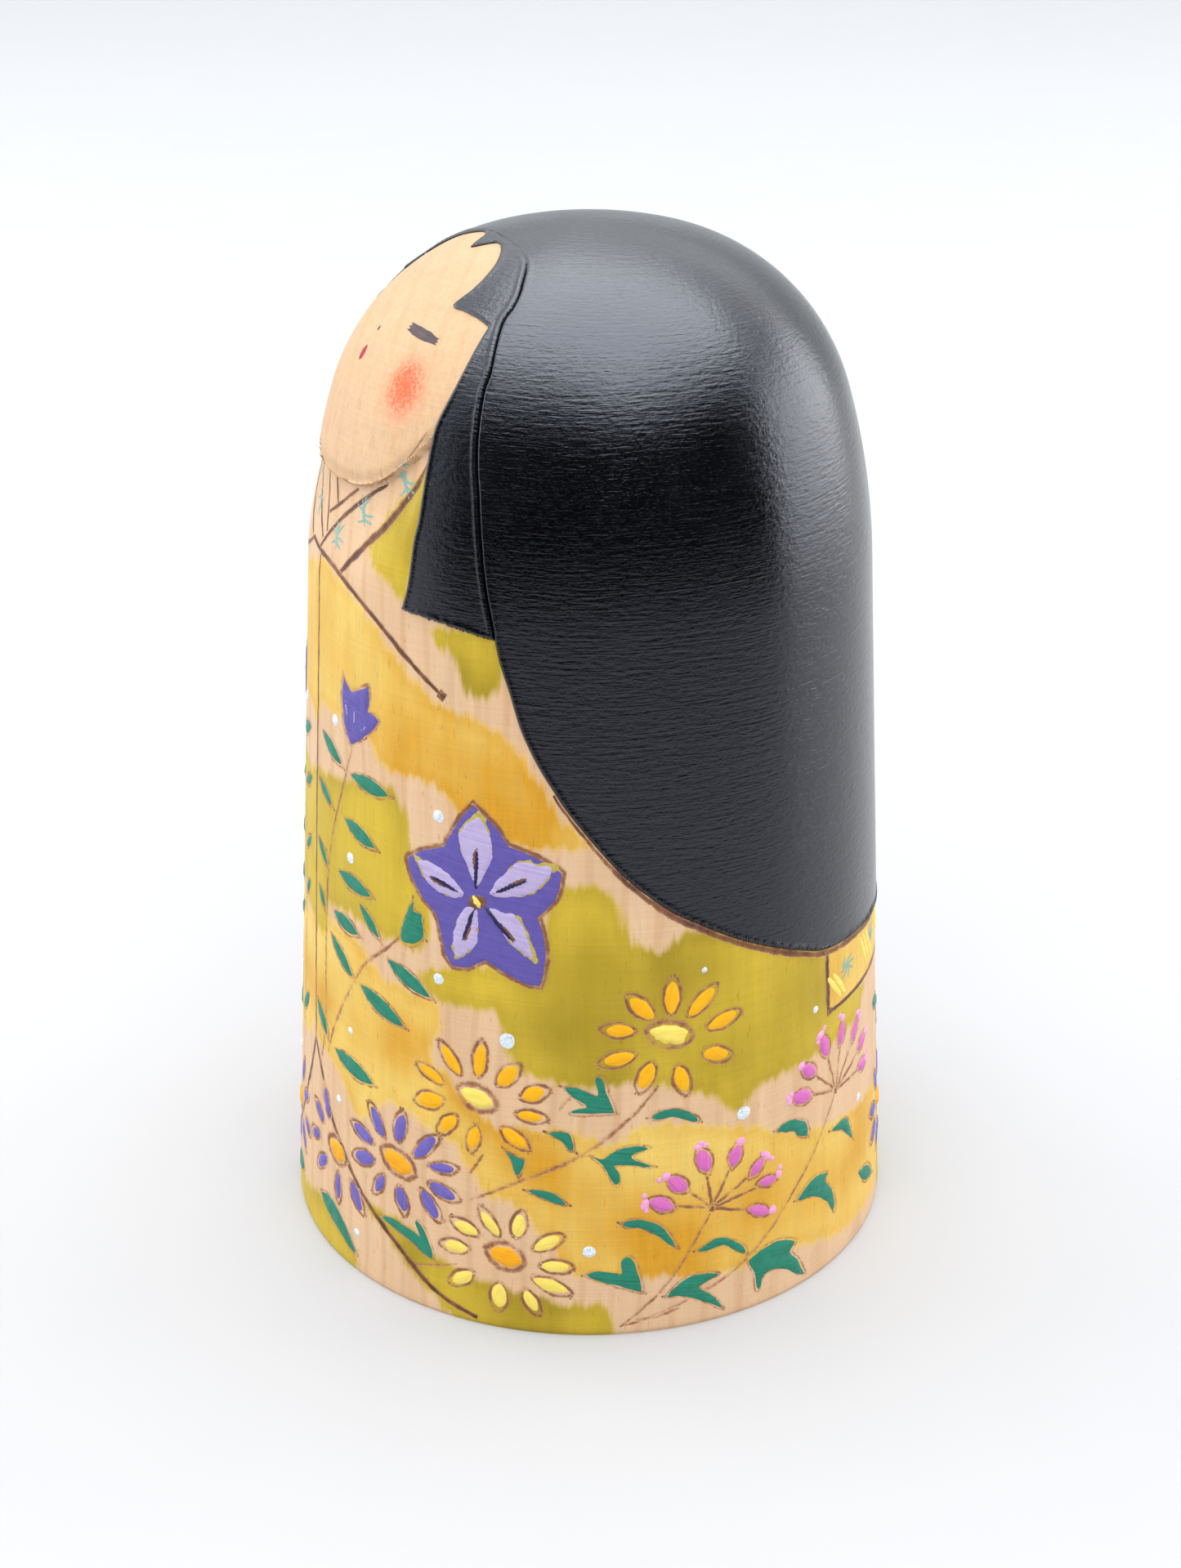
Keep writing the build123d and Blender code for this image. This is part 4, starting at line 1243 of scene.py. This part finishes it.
def leaves():
    """Green leaves, each with a burnt outline and burnt touches at its tips."""
    for index, (angle, height, length, width, tilt) in enumerate(PLAIN_LEAVES + BACK_LEAVES):
        for centre, flip in both_sides(angle, height):
            leaf = turned(oval(length, width, 0.8), tilt, flip=flip)
            dab("leaf", leaf, centre, seed=index, direction=math.radians(tilt) * flip)
            around = turned(oval(length + 0.9, width + 0.5, 0.95), tilt, (0.2, -0.1), flip)
            local_line(around, centre, 0.15, closed=True, seed=index + 40, strength=0.72)
            tip = turned([(length / 2, -0.1), (length / 2 + 1.0, -0.05)], tilt, flip=flip)
            local_line(tip, centre, 0.22, seed=index + 41, taper=0.4, strength=0.95)
    for index, (place, outline) in enumerate(SHAPED_LEAVES):
        for centre, flip in both_sides(*place):
            leaf = turned(outline, 0, flip=flip)
            dab("leaf", closed_curve(leaf, 3), centre, seed=index + 30)
            middle = leaf.mean(0)
            around = closed_curve(middle + (leaf - middle) * 1.1, 3) + (0.1, -0.1)
            local_line(around, centre, 0.14, closed=True, seed=index + 70, strength=0.66)
            for corner in (leaf[0], leaf[np.argmin(leaf[:, 1] - flip * leaf[:, 0])]):
                way = (corner - middle) / np.hypot(*(corner - middle))
                local_line(np.stack([corner - way * 0.1, corner + way * 0.8]), centre, 0.2,
                           seed=index + 71, taper=0.4, strength=0.95)


# Pink buds: direction, distance to the middle, length, width and lean.
SPRAYS = [
    ((90.8, 16.3), [(9, 8.2, 2.6, 1.2, -14), (30, 7.5, 2.7, 1.3, 16), (63, 7.2, 2.9, 1.6, 8),
        (99, 6.9, 3.3, 1.8, 12), (137, 6.2, 3, 1.8, 2), (165, 6.8, 3.2, 1.7, -12),
        (340, 7.2, 3.4, 1.3, -7)]),
    ((122, 25), [(20, 8.6, 3, 1.5, 4), (46, 8.2, 3, 1.4, 6), (77, 7.5, 3.1, 1.5, -7),
        (108, 7.7, 3.2, 1.7, 2), (137, 7.7, 2.8, 1.6, 7), (163, 7.3, 3.5, 1.8, 0),
        (357, 8.2, 2.9, 1.5, -4)]),
]
# Pale dabs at a bud's tip: how far beyond the bud, how far aside, length and width.
TIP_DABS = [
    [(0.5, 0, 1.3, 1), (0.9, 0.9, 0.9, 0.7)],
    [(0.5, 0.3, 1.8, 1), (0.9, -0.8, 0.8, 0.7), (0.1, 1.1, 0.7, 0.6)],
    [(0.5, 0.1, 1.3, 1.2)],
    [(0.4, -0.5, 0.9, 0.8), (0.5, 0.5, 1.2, 0.8), (0.9, 0, 0.8, 0.7)],
]


def sprays():
    """Umbels of pink buds on burnt stalks, each bud tipped with pale dabs."""
    for number, (place, buds) in enumerate(SPRAYS):
        for centre, flip in both_sides(*place):
            for index, bud in enumerate(buds):
                spray_bud(centre, flip, bud, seed=number * 30 + index)
            local_line([(-0.3, 0.1), (0.4, -0.1)], centre, 0.42, seed=number, strength=1.2)


def spray_bud(centre, flip, bud, seed):
    """One pink bud on its stalk, with a burnt outline and pale tips."""
    direction, middle, length, width, lean = bud
    turn = math.radians(direction)
    ray = np.array([math.cos(turn), math.sin(turn)])
    normal = np.array([-ray[1], ray[0]])
    shape = turned(oval(length * 1.05, width * 1.1, 0.6), direction + lean, ray * middle, flip)
    dab("pink_bud", shape, centre, thickness=0.2, seed=seed, direction=turn)
    around = turned(oval(length + 1.1, width + 0.6, 0.8), direction + lean, ray * middle, flip)
    local_line(around, centre, 0.18, closed=True, seed=seed + 9, strength=0.75)
    stalk = np.stack([ray * 0.2, ray * (middle - length / 2 - 0.3)]) * (flip, 1)
    local_line(stalk, centre, 0.2, seed=seed, taper=0.2, strength=0.85)
    for spot, (ahead, aside, tip_length, tip_width) in enumerate(TIP_DABS[seed % len(TIP_DABS)]):
        at = ray * (middle + length / 2 + ahead) + normal * aside
        tip = turned(oval(tip_length, tip_width, 0.45, 10), direction + 90, at, flip)
        dab("pink_tip", tip, centre, thickness=0.16, spacing=0.3, seed=seed + spot)


# Dots of silver paint: angle, height and radius.
SILVER_DOTS = [
    (9.3, 74, 0.75), (38.9, 67.3, 0.8), (15.8, 57.5, 0.75), (39.2, 46.5, 0.75), (16.4, 34.2, 0.5),
    (53, 40.1, 1.05), (12.5, 23.2, 0.6), (19.1, 5.8, 0.6), (89.4, 48.7, 0.4), (97.4, 28.3, 0.95),
    (68, 12.1, 0.85), (115.7, 38.2, 0.5), (131.9, 20.5, 0.6),
]
ROBE_STRENGTH = 1.4
STEM_STRENGTH = 0.72
ROBE_WIDTH_SCALE = 0.84
THIN_LINE = 0.2
STEM_LINE = 0.27
ROBE_LINE = 0.32
# Stems and small twigs: half width, then places.
STEMS = [
    (THIN_LINE, [(16, 71.8), (13, 66.5), (9.1, 59.5), (7.2, 54.4), (6.5, 48.8), (6.3, 40.4), (6.6, 33),
        (5, 27)]),
    (STEM_LINE, [(30.3, 50.3), (26.5, 47.9), (20.7, 44.5), (18, 41.8), (13.1, 36.4), (9.9, 32.1),
        (7.8, 28.5)]),
    (STEM_LINE, [(80.5, 34.4), (76.7, 31.2), (70.8, 27.6), (64.9, 24.7), (56, 21.5), (45.9, 17.5)]),
    (THIN_LINE, [(90.4, 15.6), (85.4, 9.9), (80.7, 5.6), (73.5, 1.2)]),
    (THIN_LINE, [(121.9, 24.7), (118.2, 21.3), (114.1, 17.8), (108.8, 14.2), (101.8, 9.6), (94, 6.1),
        (79.6, 2.4), (74.4, 1.4)]),
    (THIN_LINE, [(76.3, 2), (80.4, 2.3), (84.5, 3)]),
    (THIN_LINE, [(34.8, 5.9), (43.5, 7.9)]),
    (THIN_LINE, [(45.9, 21.2), (48.6, 24.3)]),
    (THIN_LINE, [(62.6, 31.5), (65.5, 34)]),
]
# Lines of the robe: front overlap, hem, sleeve and collar.
ROBE_LINES = [
    (0.2, [(0, 93.3), (0.2, 80.5), (0.2, 59), (0.8, 40), (1.4, 28.4)]),
    (0.36, [(1.4, 28.4), (5.2, 24.5), (8.5, 20.7), (11.4, 18.4), (14.3, 16.4), (17.2, 14.2), (20.6, 12.1),
        (26.1, 9.5), (31.7, 6.8), (36.8, 4), (41.4, 2.3), (47.5, 0.9)]),
    (0.3, [(1.4, 28.4), (-2.5, 21.5), (-8.9, 14), (-16, 8.5), (-26, 3.6), (-34, 1)]),
    (ROBE_LINE, [(-7.1, 93.9), (-0.2, 93.4), (4.9, 93.1), (10.1, 92.4), (15.4, 91.3), (20.4, 89.9),
        (25.1, 88.3), (31, 85.8), (39.4, 82.2)]),
    (ROBE_LINE, [(-7.1, 93.9), (-10.1, 92.8), (-20.4, 90.2), (-31, 86), (-41.4, 81.4)]),
    (0.42, [(33.2, 108.1), (29.8, 104.7), (24.1, 100.4), (17.2, 96.5), (10.4, 92.6)]),
    (0.26, [(21.8, 104.6), (12.6, 101), (6.7, 98.4), (1.8, 95.7), (-1.5, 93.6)]),
    (0.24, [(12.1, 102.8), (5.8, 100.3), (0.1, 98.2)]),
    (0.2, [(0.9, 102.6), (4, 99.8)]),
    (0.2, [(-5, 102.8), (-1.5, 99), (1, 96)]),
    (0.42, [(-33.2, 108.1), (-29.8, 104.7), (-24.1, 100.4), (-17.2, 97), (-9, 94)]),
    (0.24, [(-21.8, 104.6), (-12.6, 101), (-6, 97.6), (-0.6, 95)]),
]
BOW_LINES = [
    (0.36, [(119.4, 45.4), (119.6, 41), (119.7, 36.2)]),
    (0.42, [(119.9, 36.9), (121, 36.5)]),
    (0.32, [(119.7, 36.6), (131, 36.6), (145, 36.6), (165, 36.5), (185, 36.5), (205, 36.5), (225, 36.6),
        (240.3, 36.6)]),
    (0.36, [(240.6, 45.4), (240.4, 41), (240.3, 36.2)]),
]


def stem(places, half_width, seed):
    surface_line(places, half_width, seed=seed, taper=0.35, strength=STEM_STRENGTH)


def lines():
    """Burnt lines of the robe, the bow, the stems and the hair's lower edge, and a thin brown line in the
    groove just under the chin.
    """
    for index, (half_width, places) in enumerate(ROBE_LINES + BOW_LINES):
        surface_line(places, half_width * ROBE_WIDTH_SCALE, seed=index, taper=0.25, strength=ROBE_STRENGTH)
    for index, (half_width, places) in enumerate(STEMS):
        stem(places, half_width, index + 20)
        partner = [(SIDE_TURN - angle, max(height - SIDE_DROP, 0.9)) for angle, height in places]
        stem(partner, half_width, index + 50)
    # A thin brown line along the groove just under the chin, drawn like the burnt lines.
    chin = []
    for angle in range(-32, 33, 4):
        across = abs(radius_at(CHIN_HEIGHT) * math.sin(math.radians(angle)))
        chin.append((angle, chin_line(across) - 0.35))
    surface_line(chin, 0.12, seed=99, taper=0.5, strength=0.75)
    for side in (1, -1):
        under = [(side * angle, height - 0.45) for angle, height in BACK_EDGE if angle > 60]
        surface_line(under, 0.3, seed=90 + side, taper=0.6, strength=1.2)
        local_line([(-0.4, 0.35), (0.3, -0.25)], (side * 39.6, 82.1), 0.46, seed=95, strength=1.5)


def buds():
    """The violet bellflower bud beside the front overlap, and its partner."""
    for centre, flip in both_sides(18.2, 76.4):
        bud = turned(VIOLET_BUD, 0, flip=flip)
        dab("bellflower", closed_corner_curve(bud), centre, seed=3)
        local_line(closed_corner_curve(bud * 1.07), centre, 0.2, closed=True, seed=4, strength=0.7)
        for foot, tip in (((-1.0, -2.6), (-0.6, 1.2)), ((0.2, -2.2), (2.3, -0.2)),
                          ((-2.2, -1.6), (-2.9, 2.2))):
            way = np.subtract(tip, foot)
            stroke = turned(oval(np.hypot(*way), 0.5, 0.8), direction_of(way), np.add(tip, foot) / 2, flip)
            dab("bellflower_light", stroke, centre, thickness=0.2, spacing=0.3, seed=6)


def dots():
    """Silver dots scattered over the robe."""
    for index, (angle, height, radius) in enumerate(SILVER_DOTS):
        for centre, flip in both_sides(angle, height):
            dab("silver_dot", turned(oval(radius * 2, radius * 1.9, 0.5, 12), 20 * index), centre,
                thickness=0.16, spacing=0.35, seed=index)


def brush_stroke(length, width):
    """A short dry brush stroke along X, with bristle marks at both ends."""
    half, edge = length / 2, width / 2
    left = [(-half + 0.5 * (k % 2), edge * (0.8 - 0.4 * k)) for k in range(5)]
    right = [(half - 0.4 * (k % 2), edge * (-0.7 + 0.35 * k)) for k in range(5)]
    lower = [(-half * 0.4, -edge * 1.05), (half * 0.3, -edge)]
    upper = [(half * 0.3, edge * 1.0), (-half * 0.4, edge * 1.1)]
    return np.array(left + lower + right + upper)


# Eyes: place, length and side. The right eye is set further round, so that it stays behind the limb.
EYES = [((20.4, 120.4), 6, 1), ((-31.6, 120.4), 4.8, -1)]


def face():
    """Eyes, mouth and the small dot of the nose."""
    for centre, length, side in EYES:
        stroke = turned(brush_stroke(length, 0.95), -7, flip=side)
        dab("eye", stroke, centre, thickness=0.03, spacing=0.22, seed=8)
    dab("mouth", turned(oval(1.7, 1.25, 0.6, 12), 84), (0.0, 116.7), thickness=0.05, spacing=0.25, seed=1)
    dab("nose_dot", turned(oval(0.5, 0.5, 0.5, 10), 0), (0.7, 119.4), thickness=0.03, spacing=0.2, seed=2)


SCRIBBLE_SIZE = 1.4


def scribbles():
    """Pale green brush scribbles on the collar bands and the bow."""
    spots = [(6.5, 96.4), (15.5, 100.6), (27.0, 105.6), (-9.0, 98.4), (-18.0, 102.0)]
    spots += [(angle, 41.0) for angle in (127.0, 142.0, 160.0, 180.0, 200.0, 218.0, 233.0)]
    for number, place in enumerate(spots):
        for stroke in range(4):
            lean = math.radians(50 + 37 * stroke + 11 * number)
            points = []
            for k in range(4):
                along = SCRIBBLE_SIZE * (k - 1.5) * 0.9
                x = along * math.cos(lean) + 0.5 * math.sin(2.2 * k + stroke)
                y = along * math.sin(lean) + 0.35 * math.cos(1.7 * k + number)
                points.append((x, y))
            local_line(open_curve(points, 5), place, 0.09, seed=number * 6 + stroke, taper=0.5,
                       coat="collar_scribble")


BOW_START = 121.2
BOW_BAND = 14.2
STRIPE_STEP = 1.9


def bow():
    """Slanting cream stripes in bands across the bow."""
    for band in range(9):
        start = BOW_START + band * BOW_BAND
        for stripe in range(3):
            angle = start + stripe * STRIPE_STEP
            low, high = (angle + 3.4, 37.6), (angle - 1.6, 43.0 if 125 < angle < 235 else 41.5)
            if angle > 237 or (band == 0 and stripe == 2):
                continue
            middle = ((low[0] + high[0]) / 2, (low[1] + high[1]) / 2)
            way = (math.radians(high[0] - low[0]) * radius_at(40.0), high[1] - low[1])
            shape = turned(oval(math.hypot(*way), 0.85, 0.4, 14), direction_of(way))
            dab("bow_stripe", shape, middle, thickness=0.12, seed=band * 3 + stripe)


def paint_everything():
    """Fills every coat, from the flowers to the burnt lines."""
    daisies()
    for centre, flip in both_sides(47.2, 57.6) + [((179.0, 21.5), 1)]:
        bellflower(centre, flip, seed=int(centre[0]) % 17)
    buds()
    leaves()
    sprays()
    dots()
    face()
    scribbles()
    bow()
    lines()


# ---------------------------------------------------------------- stage, light and camera
CAMERA_TURN = math.radians(68.0)
CAMERA_DISTANCE = 282.1
CAMERA_HEIGHT = 183.5
CAMERA_PITCH = math.radians(24.1)
CAMERA_LENS = 54.655
CAMERA_SHIFT = 0.0008
SENSOR = 36.0


def from_camera(turn, distance, height):
    """A point at a bearing from the camera's, in degrees."""
    bearing = CAMERA_TURN + math.radians(turn)
    return Vector((distance * math.sin(bearing), -distance * math.cos(bearing), height))


def camera():
    """The camera of the photo, in front of the doll's left side."""
    data = bpy.data.cameras.new("camera")
    data.lens = CAMERA_LENS
    data.sensor_width = SENSOR
    data.shift_x = CAMERA_SHIFT
    data.clip_start = 0.01
    obj = linked("camera", data)
    obj.location = from_camera(0, CAMERA_DISTANCE, CAMERA_HEIGHT) * MM
    obj.rotation_euler = (math.pi / 2 - CAMERA_PITCH, 0, CAMERA_TURN)
    bpy.context.scene.camera = obj


LIT_POINT = Vector((0, 0, 0.065))


def area_light(name, turn, elevation, distance, size, power, colour):
    """A square softbox that faces the doll, placed by its bearing from the camera's."""
    data = bpy.data.lights.new(name, "AREA")
    data.size = size
    data.energy = power
    data.color = colour
    obj = linked(name, data)
    rise = math.radians(elevation)
    obj.location = LIT_POINT + distance * from_camera(turn, math.cos(rise), math.sin(rise))
    obj.rotation_euler = (LIT_POINT - obj.location).to_track_quat("-Z", "Y").to_euler()
    obj.visible_camera = False
    return obj


FLOOR_SIZE = 6.0


def floor():
    """Pale paper under and behind the doll."""
    shader = Shader("floor_paper", 0.7, specular=0.2)
    mottle = shader.noise(30, 3, 0.5)
    shader.colour(shader.mix(mottle, srgb(185, 185, 186), srgb(182, 182, 184)))
    corners = [(x * FLOOR_SIZE, y * FLOOR_SIZE, 0) for x, y in ((-1, -1), (1, -1), (1, 1), (-1, 1))]
    obj = plain_object("floor", corners, [(0, 1, 2, 3)], shader.material)


# The dark card's cross section: distance from the axis and height, in metres.
CARD_SECTION = ((0.42, 0.002), (0.75, 0.002), (0.75, 0.58))


def dark_card():
    """Stands for the dark room in front of the doll, which the lacquer mirrors but nothing else sees."""
    shader = Shader("dark_cloth", 0.9, specular=0.1)
    weave = shader.noise(60, 3, 0.5)
    shader.colour(shader.mix(weave, srgb(14, 14, 17), srgb(24, 24, 28)))
    points = [from_camera(turn, *place) for turn in range(-60, 81, 20) for place in CARD_SECTION]
    panels = [(k, k + 3, k + 4, k + 1) for k in range(len(points) - 3) if k % 3 < 2]
    card = plain_object("dark_card", points, panels, shader.material)
    card.visible_camera = False
    card.visible_diffuse = False
    card.visible_shadow = False


WARM = (1.0, 0.995, 0.985)
WHITE = (1.0, 1.0, 1.0)
COOL = (0.97, 0.985, 1.0)
BLUISH = (0.95, 0.975, 1.0)
# Lights: name, turn from the camera's bearing, elevation, distance, size, power and colour.
LIGHTS = [
    ("overhead_core", 180, 78, 2.4, 2.6, 26.0, WARM),
    ("overhead_middle", 180, 78, 2.4, 4.0, 60.0, WARM),
    ("overhead_edge", 180, 78, 2.4, 5.6, 118.0, WARM),
    ("right_wall", 107, 5, 1.3, 1.1, 13.0, WHITE),
    ("left_wall", -105, 16, 1.3, 1.1, 9.0, COOL),
]


def studio():
    """Sky, softboxes, paper and card."""
    world = bpy.data.worlds.new("studio")
    world.use_nodes = True
    sky = world.node_tree.nodes["Background"]
    sky.inputs["Color"].default_value = (0.90, 0.95, 1.0, 1.0)
    sky.inputs["Strength"].default_value = 0.9
    bpy.context.scene.world = world
    for light in LIGHTS:
        area_light(*light)
    area_light("front_fill", 0, 46, 2.2, 2.4, 28.0, WHITE).visible_glossy = False
    area_light("sheen", 60, 84, 2.4, 3.4, 150.0, BLUISH).visible_diffuse = False
    floor()
    dark_card()


# ---------------------------------------------------------------- assembly
def places_of(piece):
    """Angle and height of each vertex of a piece."""
    points = np.array([tuple(v.co) for v in piece.data.vertices]) / MM
    return np.degrees(np.arctan2(points[:, 0], -points[:, 1])), points[:, 2]


def assemble():
    """Builds the pieces, gives each its body and hides the CAD nodes it replaces."""
    finished = [
        (wood_block(), ["wood_block"], "wood"),
        (back_hair(), ["back_hair_lacquer"], "lacquer"),
        (front_hair(), ["front_hair_lacquer"], "lacquer"),
    ]
    paint_everything()
    for name, coat, material, nodes, slot in PIECES:
        on_wood = coat == "scorched_line"
        piece = COATS[coat].build(name, MATERIALS[material], "burnt" if on_wood else "along")
        if on_wood:
            stain(piece, *places_of(piece))
        finished.append((piece, nodes, slot))
    for piece, nodes, slot in finished:
        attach(piece, "root")
        if nodes:
            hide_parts(*nodes)


bpy.context.scene.view_settings.view_transform = "Standard"
camera()
studio()
assemble()
